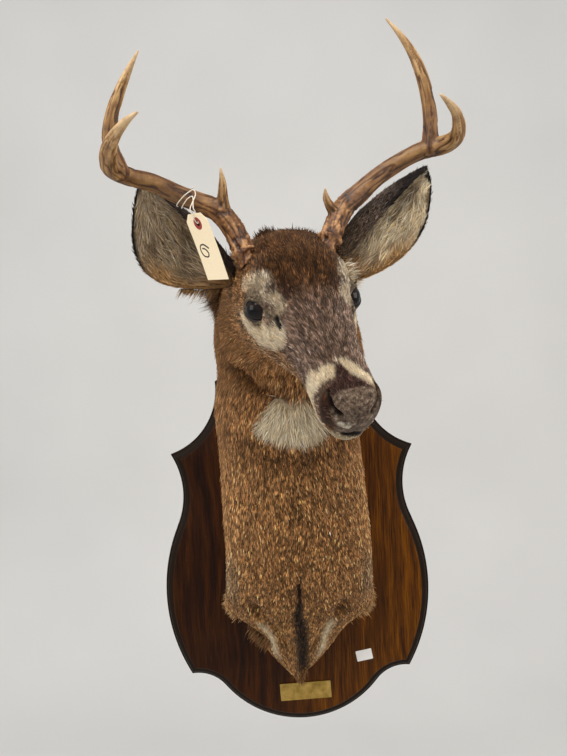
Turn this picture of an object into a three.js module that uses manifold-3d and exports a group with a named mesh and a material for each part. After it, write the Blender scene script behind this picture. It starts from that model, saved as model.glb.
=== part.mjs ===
// Shoulder mount of a white-tailed buck on its shield-shaped walnut board.
// Millimetres. +Z is up, +Y goes into the wall, and the deer looks out along -Y, turned to its own
// left (+X).
// The origin is on the board's back face, midway between the board's four horns.
import * as THREE from 'three';
import { mergeVertices } from 'three/addons/utils/BufferGeometryUtils.js';
import Module from 'manifold-3d';

const wasm = await Module();
wasm.setup();

// ---- Driving dimensions ----------------------------------------------------------------------

const GAP = 0.3;                 // clearance between touching pieces
const SLIVER = 0.1;              // edges shorter than this are taken out of a cut piece

const BOARD = {
  thick: 20,
  lobe: { x: 0, z: -103, r: 147 },          // round bottom of the shield
  hollow: { x: 158, z: -229.2, r: 55.2 },      // hollow between the bottom and the lower horn
  belly: { x: -52.5, z: -50, r: 250.5 },    // full side of the shield
  waist: { x: 281.8, z: 103, r: 116.8 },    // narrow part under the upper horn
  scoop: { x: 212, z: 260, r: 103 },        // hollow above the upper horn
  dome: { x: 0, z: 123, r: 182 },           // top of the shield, behind the neck
  lowerHorn: [165, -174],
  upperHorn: [181, 162],
  shoulder: [110, 268],
  // the moulded edge, from the back: how far in from the outline, and how far out from the wall
  edge: [[0, 0], [0, 9], [3, 11], [5, 15], [11, 17.4], [12.6, 20]],
};
const ARC_STEPS = [9, 5, 13, 6, 7, 7];   // straight pieces in each arc, from the bottom to the top

const NAMEPLATE = { wide: 76.5, high: 26, thick: 0.8, x: 5.8, z: -203, tilt: 2.2 };
const LABEL = { wide: 24, high: 16, thick: 0.3, x: 96, z: -152, tilt: 10 };

const BACK_PLANE = -(BOARD.thick + GAP);    // where the hide lies flat against the board

// The head's own frame: origin midway between the eyes, turned about Z, then pitched, then rolled.
const HEAD = { x: 21, y: -343, z: 361, yaw: 15.2, pitch: 31, roll: 6.5 };

// Hinge of the fan of sections that turns the corner from head to neck, under the throat latch.
const HINGE_BACK = 45;           // behind the eyes
const HINGE_DROP = 118;          // below the eyes
const FAN_LENGTH = 210;          // nominal length of the fan, along the middle of the neck
const NOSE = 190;                // from the eyes to the tip of the nose

// Sections of the hide, nose to brisket. Heights are measured from the line of the eyes.
//            at: distance in front of the eyes
//            top, bottom: outline above and below; half: half the width; wide: height of the widest place
//            upper, lower: fullness of the upper and lower half (2 is an ellipse, more is squarer)
const HEAD_SECTIONS = [
  { at: 190, top: -3, bottom: -15, half: 6, wide: -8, upper: 2, lower: 2 },
  { at: 188.5, top: 3, bottom: -21, half: 12, wide: -8, upper: 2.2, lower: 2.2 },
  { at: 185, top: 9, bottom: -28, half: 18, wide: -7, upper: 2.4, lower: 2.3 },
  { at: 178, top: 16, bottom: -35, half: 24, wide: -6, upper: 2.4, lower: 2.3 },
  { at: 168, top: 19, bottom: -49, half: 28, wide: -8, upper: 2.3, lower: 2.1 },
  { at: 155, top: 22, bottom: -53, half: 29, wide: -12, upper: 2.2, lower: 2.1 },
  { at: 130, top: 26, bottom: -47, half: 30, wide: -10, upper: 2.2, lower: 2.1 },
  { at: 100, top: 31, bottom: -48, half: 33, wide: -6, upper: 2.2, lower: 1.9 },
  { at: 70, top: 36, bottom: -56, half: 39, wide: -6, upper: 2.2, lower: 1.8 },
  { at: 40, top: 43, bottom: -66, half: 49, wide: -4, upper: 2.3, lower: 1.8 },
  { at: 15, top: 50, bottom: -75, half: 57, wide: 0, upper: 2.6, lower: 1.8 },
  { at: -10, top: 56, bottom: -84, half: 61, wide: 4, upper: 2.5, lower: 1.8 },
  { at: -30, top: 58, bottom: -91, half: 62, wide: 0, upper: 2.3, lower: 1.9 },
];
// Sections of the fan. turn: from 0 at the head to 1 where a section lies level.
// Here top, bottom and wide are distances from the hinge.
const FAN_SECTIONS = [
  { turn: 0, top: 175, bottom: 22, half: 64, wide: 108, upper: 2.3, lower: 2.0 },
  { turn: 0.25, top: 170, bottom: 14, half: 72, wide: 96, upper: 2.2, lower: 2.1 },
  { turn: 0.5, top: 168, bottom: 10, half: 86, wide: 90, upper: 2.1, lower: 2.2 },
  { turn: 0.75, top: 188, bottom: 9, half: 95, wide: 94, upper: 2.2, lower: 2.2 },
  { turn: 1, top: 240, bottom: 9, half: 97, wide: 112, upper: 2.4, lower: 2.1 },
];
// Level sections of neck and shoulder. front: y of the breast; side: x of the middle.
const NECK_SECTIONS = [
  { z: 235, front: -238, half: 96, wide: -125, side: 0, upper: 2.6, lower: 2.1 },
  { z: 190, front: -241, half: 95, wide: -120, side: -1, upper: 2.6, lower: 2.1 },
  { z: 110, front: -234, half: 98, wide: -118, side: 2, upper: 2.8, lower: 2.1 },
  { z: 40, front: -220, half: 100, wide: -110, side: 5, upper: 3.0, lower: 2.1 },
  { z: -10, front: -197, half: 102, wide: -100, side: 4, upper: 3.0, lower: 2.1 },
  { z: -42, front: -172, half: 104, wide: -84, side: 3, upper: 3.2, lower: 2.0 },
  { z: -60, front: -157, half: 97, wide: -76, side: 3, upper: 3.2, lower: 1.9 },
  { z: -95, front: -128, half: 64, wide: -66, side: 1, upper: 3.0, lower: 1.7 },
  { z: -128, front: -98, half: 40, wide: -56, side: -3, upper: 2.6, lower: 1.7 },
  { z: -155, front: -74, half: 19, wide: -46, side: -3, upper: 2.2, lower: 1.8 },
  { z: -174, front: -56, half: 5, wide: -40, side: -2, upper: 2.0, lower: 2.0 },
];
const HIDE_BACK = 8;             // how far an uncut section would run past the board's face
const HEAD_ENDS = 313;           // station, from the nose, where the head node meets the neck node
const NECK_ENDS = 640;           // station where the neck node meets the shoulder node
const RINGS = { head: 28, neck: 16, shoulder: 12 };
const RINGS_PAST_EARS = 4;       // rings of the neck that the roots of the ears may reach
const SIDES = 32;                // points round one section of the hide

// Eyeballs, and the almond opening between the lids: its centre from the eyeball's, and half sizes.
const EYE = { radius: 17, x: 46, ahead: 3, up: 6.5 };
const LID_OPENING = { out: 14, ahead: 7, up: 2, half: [14, 18, 11] };

// Ears: root and tip in the board's frame, and which way the open side faces.
const EARS = {
  ear_right: { root: [-54, -290, 394], tip: [-157, -262, 519], open: [-0.25, -0.95, 0.1],
    outer: 66, inner: 33, turned: -1 },
  ear_left: { root: [72, -276, 409], tip: [180, -215, 526], open: [0.12, -0.97, 0.12],
    outer: 47, inner: 38, turned: 1 },
};
const EAR = { thick: 5, rim: 1.8, cup: 26, rootSwell: 0.14, rings: 11, across: 6 };

// Antlers: main beam from burr to tip, and its two tines, in the board's frame.
const BEAM_RADII = [12.5, 13, 13, 12, 10.8, 10.2, 10.2, 10.5, 10.5, 9, 7, 5, 1.8];
const TINE_RADII = { brow: [9.5, 6.5, 4.6, 1.5], fork: [10.5, 8.6, 7.8, 6.6, 4.6, 1.6] };
const BURR = { radius: 16.5, core: 10.5, thick: 6 };
const ANTLERS = {
  antler_right: {
    beam: [[-41, -322, 426], [-51, -317, 451], [-67, -317, 471], [-86, -320, 480], [-108, -326, 489],
      [-132, -338, 500], [-153, -354, 504], [-167, -380, 509], [-163, -408, 519], [-151, -432, 528],
      [-137, -448, 536], [-123, -460, 541]],
    brow: [[-60, -318, 467], [-60, -324, 483], [-59, -330, 499], [-60, -336, 514]],
    fork: [[-161, -368, 506], [-169, -372, 539], [-165, -374, 563], [-157, -377, 582],
      [-146, -382, 601], [-132, -388, 622]],
  },
  antler_left: {
    beam: [[56, -308, 438], [65, -299, 458], [75, -293, 473], [93, -287, 489], [115, -283, 507],
      [142, -282, 523], [164, -286, 532], [185, -293, 535], [196, -308, 538], [197, -330, 545],
      [191, -348, 555], [181, -360, 563], [170, -370, 570]],
    brow: [[66, -299, 462], [58, -305, 471], [53, -310, 481], [52, -314, 491]],
    fork: [[173, -289, 532], [174, -290, 567], [170, -292, 597], [160, -296, 628],
      [145, -301, 652], [126, -306, 673]],
  },
};
const FORK_AT = 0.53;            // share of the beam's length where its fork tine leaves it
const FORK_GAP = 0.0006;         // share of the beam's length left open between its two lengths
const BEAM_RINGS = 28;
const TINE_RINGS = 9;
const HORN_SIDES = 9;

// front: the side of the card that faces the room, along its own third axis. The card bows to the
// front by bow times the square of the distance past bowFrom below the hole.
const TAG = { front: -1, long: 75, wide: 40, thick: 0.5, chamfer: 8, hole: 7.1, holeFromTop: 11,
  holeAt: [-86, -345.5, 454], down: [0.285, 0.3, -0.9], across: [0.66, -0.74, -0.17],
  bow: 0.0006, bowFrom: 12, rays: 48, rayGap: 0.05, rings: 6 };
const EYELET = { outer: 6.8, bore: 3.4, thick: 1.1 };

// The string's route. beam: degrees round the right beam (0 on top, 90 in front), shift along it,
// and a height over its lift. card: across the card, up it from the hole, and out from its front.
const STRING = { diameter: 1.3, sides: 8, steps: 60, onBeam: 0.315, beamRadius: 11, lift: 1.2 };
const STRING_ROUTE = [
  { beam: [195, 9, 0] }, { beam: [160, 11, 0] }, { beam: [125, 10, 0] }, { beam: [90, 7, 0] },
  { beam: [60, 3, 0] }, { beam: [48, 0, 1.8] }, { beam: [66, -3.4, 2.4] },
  { card: [-1, 16, 2.2] }, { card: [-0.6, 11, 1.9] }, { card: [-0.2, 4, 1.8] }, { card: [0, 0, 0] },
  { card: [0.2, 4, -1.8] }, { card: [0.6, 11, -1.9] }, { card: [1, 16, -1] },
  { beam: [80, -1, 0.2] }, { beam: [98, 2.5, 0] }, { beam: [128, 4.5, 0] }, { beam: [165, 5, 0] },
  { beam: [205, 4, 0] }, { beam: [250, 3, 0] }, { beam: [295, 2, 0] }, { beam: [335, 1, 0] },
  { beam: [368, 0.4, 0.8] }, { beam: [396, 1.5, 1.4] },
];

// ---- Finishes --------------------------------------------------------------------------------

const finish = (color, roughness, metalness = 0) =>
  () => new THREE.MeshStandardMaterial({ color, roughness, metalness });
const walnut = finish(0x3a2010, 0.35);
const brass = finish(0xa88a4a, 0.35, 1);
const label = finish(0xe8e8e6, 0.6);
const coat = finish(0x8b6b47, 0.95);
const glass = finish(0x0d0a09, 0.05);
const antler = finish(0x8a6a3f, 0.55);
const manila = finish(0xe6cfa2, 0.8);
const redFibre = finish(0x9c3b30, 0.7);
const cotton = finish(0xe9dfcb, 0.9);

// ---- Solids ----------------------------------------------------------------------------------

const mount = new THREE.Group();

function addPart(name, geometry, material) {
  const mesh = new THREE.Mesh(geometry, material());
  mesh.name = name;
  mount.add(mesh);
  return mesh;
}

// Signed volume of an indexed geometry, positive where its faces point out.
function volumeOf(geometry) {
  const place = geometry.getAttribute('position');
  const index = geometry.index.array;
  const [a, b, c] = [new THREE.Vector3(), new THREE.Vector3(), new THREE.Vector3()];
  let sum = 0;
  for (let i = 0; i < index.length; i += 3) {
    a.fromBufferAttribute(place, index[i]);
    b.fromBufferAttribute(place, index[i + 1]);
    c.fromBufferAttribute(place, index[i + 2]);
    sum += a.dot(b.cross(c)) / 6;
  }
  return sum;
}

// Solid through a row of closed rings with equally many points. A cap is a fan round the ring's
// middle, or, for a flat ring that isn't convex, the triangles that capTriangles gives.
function loft(rings, capTriangles = null) {
  const count = rings[0].length;
  const points = rings.flat();
  const triangles = [];
  for (let j = 0; j + 1 < rings.length; j += 1) {
    for (let i = 0; i < count; i += 1) {
      const next = (i + 1) % count;
      const [a, b] = [j * count + i, j * count + next];
      const [c, d] = [a + count, b + count];
      triangles.push(a, b, d, a, d, c);
    }
  }
  const closeEnd = (ring, start, forwards) => {
    const faces = [];
    if (capTriangles) {
      capTriangles.forEach(([a, b, c]) => faces.push([start + a, start + b, start + c]));
    } else {
      const middle = ring.reduce((sum, p) => sum.add(p), new THREE.Vector3()).divideScalar(count);
      points.push(middle);
      for (let i = 0; i < count; i += 1) {
        faces.push([points.length - 1, start + i, start + ((i + 1) % count)]);
      }
    }
    faces.forEach(([a, b, c]) => triangles.push(...(forwards ? [a, b, c] : [a, c, b])));
  };
  closeEnd(rings[0], 0, false);
  closeEnd(rings[rings.length - 1], (rings.length - 1) * count, true);
  const geometry = new THREE.BufferGeometry().setFromPoints(points);
  geometry.setIndex(triangles);
  if (volumeOf(geometry) < 0) {
    geometry.setIndex(triangles.reverse());
  }
  return geometry;
}

// Solid ring through closed rings that come back to the first one.
function ringBand(rings) {
  const [rows, count] = [rings.length, rings[0].length];
  const triangles = [];
  for (let j = 0; j < rows; j += 1) {
    for (let i = 0; i < count; i += 1) {
      const [next, after] = [(i + 1) % count, ((j + 1) % rows) * count];
      const [a, b, c, d] = [j * count + i, j * count + next, after + i, after + next];
      triangles.push(a, b, d, a, d, c);
    }
  }
  const geometry = new THREE.BufferGeometry().setFromPoints(rings.flat());
  geometry.setIndex(triangles);
  if (volumeOf(geometry) < 0) {
    geometry.setIndex(triangles.reverse());
  }
  return geometry;
}

function toManifold(geometry) {
  const bare = geometry.clone();
  bare.deleteAttribute('normal');
  bare.deleteAttribute('uv');
  const merged = mergeVertices(bare);
  return new wasm.Manifold(new wasm.Mesh({
    numProp: 3,
    vertProperties: new Float32Array(merged.getAttribute('position').array),
    triVerts: new Uint32Array(merged.index.array),
  }));
}

function toGeometry(solid) {
  const mesh = solid.getMesh();
  const geometry = new THREE.BufferGeometry();
  geometry.setAttribute('position', new THREE.BufferAttribute(mesh.vertProperties, 3));
  geometry.setIndex(new THREE.BufferAttribute(mesh.triVerts, 1));
  return geometry;
}

// The largest of a solid's separate bodies: the piece that is left outside when it is cut.
function largest(solid) {
  const bodies = solid.simplify(SLIVER).decompose();
  return bodies.reduce((best, body) => (body.volume() > best.volume() ? body : best));
}

const vector = (list) => new THREE.Vector3(...list);
const radians = (degrees) => THREE.MathUtils.degToRad(degrees);

// ---- Board -----------------------------------------------------------------------------------

// The point of two circles' meeting that lies nearest to a given point.
function meetingPoint(one, two, near) {
  const apart = Math.hypot(two.x - one.x, two.z - one.z);
  const along = (one.r ** 2 - two.r ** 2 + apart ** 2) / (2 * apart);
  const off = Math.sqrt(Math.max(0, one.r ** 2 - along ** 2));
  const [ux, uz] = [(two.x - one.x) / apart, (two.z - one.z) / apart];
  const candidates = [1, -1].map((sign) => [
    one.x + ux * along - sign * uz * off,
    one.z + uz * along + sign * ux * off,
  ]);
  const distance = ([x, z]) => Math.hypot(x - near[0], z - near[1]);
  return distance(candidates[0]) < distance(candidates[1]) ? candidates[0] : candidates[1];
}

// Points along a circle the short way round, without the last one.
function arcPoints(circle, from, to, steps) {
  const start = Math.atan2(from[1] - circle.z, from[0] - circle.x);
  const end = Math.atan2(to[1] - circle.z, to[0] - circle.x);
  const turn = Math.atan2(Math.sin(end - start), Math.cos(end - start));
  return Array.from({ length: steps }, (_, i) => {
    const angle = start + (turn * i) / steps;
    return [circle.x + circle.r * Math.cos(angle), circle.z + circle.r * Math.sin(angle)];
  });
}

// The shield's outline, moved in by inset: round sides get smaller and hollow ones larger.
function shieldOutline(inset) {
  const round = (circle) => ({ ...circle, r: circle.r - inset });
  const hollow = (circle) => ({ ...circle, r: circle.r + inset });
  const [lobe, belly, dome] = [BOARD.lobe, BOARD.belly, BOARD.dome].map(round);
  const [dip, waist, scoop] = [BOARD.hollow, BOARD.waist, BOARD.scoop].map(hollow);
  const stops = [
    [0, lobe.z - lobe.r],
    meetingPoint(lobe, dip, [BOARD.hollow.x / 2, BOARD.lowerHorn[1]]),
    meetingPoint(dip, belly, BOARD.lowerHorn),
    meetingPoint(belly, waist, [BOARD.upperHorn[0], 0]),
    meetingPoint(waist, scoop, BOARD.upperHorn),
    meetingPoint(scoop, dome, BOARD.shoulder),
    [0, dome.z + dome.r],
  ];
  const circles = [lobe, dip, belly, waist, scoop, dome];
  const right = circles.flatMap((circle, i) => arcPoints(circle, stops[i], stops[i + 1], ARC_STEPS[i]));
  const left = right.slice(1).map(([x, z]) => [-x, z]).reverse();
  return [...right, stops[6], ...left];
}

function plaqueBoard() {
  const rings = BOARD.edge.map(([inset, out]) =>
    shieldOutline(inset).map(([x, z]) => new THREE.Vector3(x, -out, z)));
  const outline = rings[0].map((p) => new THREE.Vector2(p.x, p.z));
  return loft(rings, THREE.ShapeUtils.triangulateShape(outline, []));
}

// A thin rectangle lying on the board's face, turned in its own plane.
function plateOnBoard({ wide, high, thick, x, z, tilt }) {
  const outline = new THREE.Shape();
  outline.moveTo(-wide / 2, -high / 2);
  outline.lineTo(wide / 2, -high / 2);
  outline.lineTo(wide / 2, high / 2);
  outline.lineTo(-wide / 2, high / 2);
  outline.closePath();
  const geometry = new THREE.ExtrudeGeometry(outline, { depth: thick, bevelEnabled: false });
  geometry.rotateX(Math.PI / 2);
  geometry.rotateY(-radians(tilt));
  return geometry.translate(x, BACK_PLANE, z);
}

// ---- Hide: one lofted skin from nose to brisket, parted into head, neck and shoulder -----------

// Right-handed frames as (sideways, back along the body, up): the head's, and a level section's.
const headTurn = new THREE.Quaternion()
  .setFromAxisAngle(new THREE.Vector3(0, 0, 1), radians(HEAD.yaw))
  .multiply(new THREE.Quaternion().setFromAxisAngle(new THREE.Vector3(1, 0, 0), radians(HEAD.pitch)))
  .multiply(new THREE.Quaternion().setFromAxisAngle(new THREE.Vector3(0, 1, 0), -radians(HEAD.roll)));
const levelTurn = new THREE.Quaternion()
  .setFromAxisAngle(new THREE.Vector3(1, 0, 0), -Math.PI / 2);
const headOrigin = new THREE.Vector3(HEAD.x, HEAD.y, HEAD.z);

// A place given as distances to the deer's left, ahead of the eyes and above them.
function inHead(left, ahead, up) {
  return new THREE.Vector3(left, -ahead, up).applyQuaternion(headTurn).add(headOrigin);
}

const hinge = inHead(0, -HINGE_BACK, -HINGE_DROP);

// Every section in one list, with its dimensions measured from the hinge line.
const STATIONS = [
  ...HEAD_SECTIONS.map((s) => ({
    ...s,
    station: NOSE - s.at,
    top: s.top + HINGE_DROP,
    bottom: s.bottom + HINGE_DROP,
    wide: s.wide + HINGE_DROP,
    side: 0,
  })),
  ...FAN_SECTIONS.map((s) => ({ ...s, station: NOSE + HINGE_BACK + s.turn * FAN_LENGTH, side: 0 })),
  ...NECK_SECTIONS.map((s) => ({
    ...s,
    station: NOSE + HINGE_BACK + FAN_LENGTH + hinge.z - s.z,
    top: BACK_PLANE + HIDE_BACK - hinge.y,
    bottom: s.front - hinge.y,
    wide: s.wide - hinge.y,
    side: s.side - hinge.x,
  })),
];
const LAST_STATION = STATIONS[STATIONS.length - 1].station;

// A section dimension at any station: a cubic through the list, with the slopes of its neighbours.
function dimensionAt(key, station) {
  const rows = STATIONS;
  const last = rows.length - 1;
  const found = rows.findIndex((row) => row.station > station);
  const i = Math.min(Math.max(found < 0 ? last - 1 : found - 1, 0), last - 1);
  const slope = (j) => {
    const [a, b] = [rows[Math.max(j - 1, 0)], rows[Math.min(j + 1, last)]];
    return (b[key] - a[key]) / (b.station - a.station);
  };
  const span = rows[i + 1].station - rows[i].station;
  const t = THREE.MathUtils.clamp((station - rows[i].station) / span, 0, 1);
  const [t2, t3] = [t * t, t * t * t];
  return rows[i][key] * (2 * t3 - 3 * t2 + 1) + slope(i) * span * (t3 - 2 * t2 + t)
    + rows[i + 1][key] * (3 * t2 - 2 * t3) + slope(i + 1) * span * (t3 - t2);
}

// Where a section's plane stands, and how it is turned.
function sectionFrame(station) {
  const turn = THREE.MathUtils.clamp((station - NOSE - HINGE_BACK) / FAN_LENGTH, 0, 1);
  const quaternion = headTurn.clone().slerp(levelTurn, turn);
  const origin = hinge.clone();
  if (turn === 0) {
    origin.copy(inHead(0, NOSE - station, -HINGE_DROP));
  } else if (turn === 1) {
    origin.z -= station - NOSE - HINGE_BACK - FAN_LENGTH;
  }
  return { origin, quaternion };
}

// One section of the hide: two half superellipses that meet at the widest place, let out by grow.
function hideRing(station, grow = 0) {
  const { origin, quaternion } = sectionFrame(station);
  const at = (key) => dimensionAt(key, station);
  const [half, wide] = [at('half') + grow, at('wide')];
  const [above, below] = [at('top') - wide + grow, wide - at('bottom') + grow];
  return Array.from({ length: SIDES }, (_, i) => {
    const angle = (2 * Math.PI * i) / SIDES;
    const [c, s] = [Math.cos(angle), Math.sin(angle)];
    const power = 2 / (c > 0 ? at('upper') : at('lower'));
    const point = new THREE.Vector3(
      at('side') + half * Math.sign(s) * Math.abs(s) ** power,
      0,
      wide + (c > 0 ? above : below) * Math.sign(c) * Math.abs(c) ** power,
    );
    point.applyQuaternion(quaternion).add(origin);
    point.y = Math.min(point.y, BACK_PLANE);
    return point;
  });
}

function hideBetween(from, to, count, grow = 0) {
  const step = (to - from) / count;
  return loft(Array.from({ length: count + 1 }, (_, j) => hideRing(from + step * j, grow)));
}

function eyeball(side, radius) {
  const place = inHead(side * EYE.x, EYE.ahead, EYE.up);
  return new THREE.SphereGeometry(radius, 16, 10).translate(place.x, place.y, place.z);
}

// The almond opening between the lids, in front of the eyeball.
function lidOpening(side) {
  const { out, ahead, up, half } = LID_OPENING;
  const place = inHead(side * (EYE.x + out), EYE.ahead + ahead, EYE.up + up);
  const geometry = new THREE.SphereGeometry(1, 16, 10).scale(...half);
  return geometry.applyQuaternion(headTurn).translate(place.x, place.y, place.z);
}

// ---- Ears ------------------------------------------------------------------------------------

// A cupped leaf: its half widths swell from the root and close at the tip, and its rims curl
// towards the open side, most of all near the root.
function ear({ root, tip, open, outer, inner, turned }) {
  const [start, end] = [vector(root), vector(tip)];
  const along = end.clone().sub(start);
  const long = along.length();
  along.normalize();
  const facing = vector(open).addScaledVector(along, -vector(open).dot(along)).normalize();
  const across = new THREE.Vector3().crossVectors(along, facing).multiplyScalar(-turned);
  if (across.x * turned < 0) {
    across.negate();
  }
  const rings = Array.from({ length: EAR.rings + 1 }, (_, j) => {
    const share = j / EAR.rings;
    const swell = Math.sin(Math.PI * (EAR.rootSwell + (0.99 - EAR.rootSwell) * share)) ** 0.8;
    const curl = EAR.cup * (1 - share) ** 0.8 * swell;
    const middle = start.clone().addScaledVector(along, long * share);
    const wall = (step, front) => {
      const t = step / EAR.across;
      const reach = (t > 0 ? outer : inner) * swell * Math.sin((t * Math.PI) / 2);
      const lift = curl * (1 - Math.cos((t * Math.PI) / 2));
      const thick = EAR.rim + (EAR.thick - EAR.rim) * (1 - t * t) * (1 - share ** 4);
      return middle.clone()
        .addScaledVector(across, reach)
        .addScaledVector(facing, lift + (front ? thick / 2 : -thick / 2));
    };
    const steps = Array.from({ length: 2 * EAR.across + 1 }, (_, i) => i - EAR.across);
    return [
      ...steps.map((step) => wall(step, true)),
      ...steps.reverse().map((step) => wall(step, false)),
    ];
  });
  return loft(rings);
}

// ---- Antlers ---------------------------------------------------------------------------------

// Tapering rod through the points, with the given radii at them, let out by grow. It can be cut
// to a share of its length.
function horn(points, radii, rings, grow = 0, from = 0, to = 1) {
  const curve = new THREE.CatmullRomCurve3(points.map(vector), false, 'centripetal');
  const radiusAt = (t) => {
    const place = t * (radii.length - 1);
    const i = Math.min(Math.floor(place), radii.length - 2);
    return THREE.MathUtils.lerp(radii[i], radii[i + 1], place - i) + grow;
  };
  const frames = curve.computeFrenetFrames(BEAM_RINGS, false);
  const count = Math.round(rings * (to - from));
  return loft(Array.from({ length: count + 1 }, (_, j) => {
    const t = from + ((to - from) * j) / count;
    const centre = curve.getPoint(t);
    const nearest = Math.round(t * BEAM_RINGS);
    const tangent = curve.getTangent(t);
    const normal = frames.normals[nearest];
    const side = normal.clone().addScaledVector(tangent, -normal.dot(tangent)).normalize();
    const other = new THREE.Vector3().crossVectors(tangent, side);
    return Array.from({ length: HORN_SIDES }, (_, i) => {
      const angle = (2 * Math.PI * i) / HORN_SIDES;
      return centre.clone()
        .addScaledVector(side, Math.cos(angle) * radiusAt(t))
        .addScaledVector(other, Math.sin(angle) * radiusAt(t));
    });
  }));
}

// The beaded ring round the foot of the beam.
function burr(points) {
  const [foot, next] = [vector(points[0]), vector(points[1])];
  const axis = next.sub(foot).normalize();
  const { radius, core, thick } = BURR;
  const profile = [
    [0, -thick], [core, -thick], [radius, -thick / 3], [radius, thick / 3], [core, thick], [0, thick],
  ];
  const geometry = new THREE.LatheGeometry(profile.map(([r, h]) => new THREE.Vector2(r, h)), HORN_SIDES);
  geometry.applyQuaternion(new THREE.Quaternion().setFromUnitVectors(new THREE.Vector3(0, 1, 0), axis));
  return geometry.translate(foot.x, foot.y, foot.z);
}

// The main beam in two lengths, from burr to fork and from fork to tip, and the two tines on it.
function addAntler(name, { beam, brow, fork }, head) {
  const beamPiece = (grow, from, to) => toManifold(horn(beam, BEAM_RADII, BEAM_RINGS, grow, from, to));
  const whole = beamPiece(GAP, 0, 1);
  const base = largest(beamPiece(0, 0, FORK_AT).add(toManifold(burr(beam))).subtract(head));
  const browTine = largest(toManifold(horn(brow, TINE_RADII.brow, TINE_RINGS)).subtract(whole));
  const forkTine = largest(toManifold(horn(fork, TINE_RADII.fork, TINE_RINGS)).subtract(whole));
  addPart(`${name}_base`, toGeometry(base), antler);
  addPart(`${name}_tip`, toGeometry(beamPiece(0, FORK_AT + FORK_GAP, 1)), antler);
  addPart(`${name}_brow_tine`, toGeometry(browTine), antler);
  addPart(`${name}_fork_tine`, toGeometry(forkTine), antler);
}

// ---- Tag -------------------------------------------------------------------------------------

// The card's own frame as a matrix: across, down its length, and out of its face.
function tagMatrix() {
  const down = vector(TAG.down).normalize();
  const across = vector(TAG.across).addScaledVector(down, -vector(TAG.across).dot(down)).normalize();
  const face = new THREE.Vector3().crossVectors(across, down);
  const matrix = new THREE.Matrix4().makeBasis(across, down, face);
  return matrix.setPosition(vector(TAG.holeAt));
}

// Directions from the hole to the card's edge all round, with one through each of its corners.
function cardDirections(half, top, bottom) {
  const corners = [[half, bottom], [half, TAG.chamfer - top], [half - TAG.chamfer, -top]]
    .flatMap(([across, down]) => [Math.atan2(down, across), Math.atan2(down, -across)]);
  const even = Array.from({ length: TAG.rays }, (_, i) => (2 * Math.PI * (i + 0.5)) / TAG.rays - Math.PI)
    .filter((angle) => corners.every((corner) => Math.abs(angle - corner) > TAG.rayGap));
  return [...even, ...corners].sort((a, b) => a - b);
}

// Rays from the hole out to the outline, on the front, round the edge and back on the other side.
function tagCard() {
  const { thick, chamfer, hole, front, bow, bowFrom } = TAG;
  const [half, top, bottom] = [TAG.wide / 2, TAG.holeFromTop, TAG.long - TAG.holeFromTop];
  const reachAt = (across, down) => Math.min(
    half / Math.abs(across),
    (down > 0 ? bottom : top) / Math.abs(down),
    Math.abs(across) > down ? (half - chamfer + top) / (Math.abs(across) - down) : Infinity,
  );
  const ring = ([share, side]) => cardDirections(half, top, bottom).map((angle) => {
    const [across, down] = [Math.cos(angle), Math.sin(angle)];
    const reach = hole + share * (reachAt(across, down) - hole);
    const bowed = bow * Math.max(reach * down - bowFrom, 0) ** 2;
    return new THREE.Vector3(reach * across, reach * down, front * (bowed + (side * thick) / 2));
  });
  const shares = Array.from({ length: TAG.rings + 1 }, (_, k) => k / TAG.rings);
  const profile = [...shares.map((s) => [s, 1]), ...shares.reverse().map((s) => [s, -1])];
  return ringBand(profile.map(ring)).applyMatrix4(tagMatrix());
}

function tagEyelet() {
  const { outer, bore } = EYELET;
  const half = EYELET.thick / 2;
  const profile = [[bore, -half], [outer, -half], [outer, half], [bore, half], [bore, -half]];
  const geometry = new THREE.LatheGeometry(profile.map(([r, h]) => new THREE.Vector2(r, h)), 20);
  return geometry.rotateX(Math.PI / 2).applyMatrix4(tagMatrix());
}

// ---- String ----------------------------------------------------------------------------------

// The string starts under the beam, crosses its front, drops to the eyelet and comes back up, then
// goes round the beam and over its top to the knot.
function stringRoute() {
  const points = ANTLERS.antler_right.beam.map(vector);
  const beamCurve = new THREE.CatmullRomCurve3(points, false, 'centripetal');
  const centre = beamCurve.getPoint(STRING.onBeam);
  const along = beamCurve.getTangent(STRING.onBeam);
  const front = new THREE.Vector3(0, -1, 0);
  front.addScaledVector(along, -front.dot(along)).normalize();
  const up = new THREE.Vector3().crossVectors(front, along).normalize();
  if (up.z < 0) {
    up.negate();
  }
  const card = tagMatrix();
  return STRING_ROUTE.map((stop) => {
    if (stop.card) {
      const [across, rise, out] = stop.card;
      return new THREE.Vector3(across, -rise, TAG.front * out).applyMatrix4(card);
    }
    const [degrees, shift, over] = stop.beam;
    const distance = STRING.beamRadius + STRING.lift + over;
    return centre.clone()
      .addScaledVector(along, shift)
      .addScaledVector(up, Math.cos(radians(degrees)) * distance)
      .addScaledVector(front, Math.sin(radians(degrees)) * distance);
  });
}

function tagString() {
  const route = new THREE.CatmullRomCurve3(stringRoute(), false, 'centripetal');
  const section = new THREE.Shape().absarc(0, 0, STRING.diameter / 2, 0, 2 * Math.PI);
  return new THREE.ExtrudeGeometry(section, {
    extrudePath: route,
    steps: STRING.steps,
    curveSegments: STRING.sides / 2,
    bevelEnabled: false,
  });
}

// ---- Assembly --------------------------------------------------------------------------------

addPart('plaque_board', plaqueBoard(), walnut);
addPart('nameplate', plateOnBoard(NAMEPLATE), brass);
addPart('label_sticker', plateOnBoard(LABEL), label);

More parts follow.
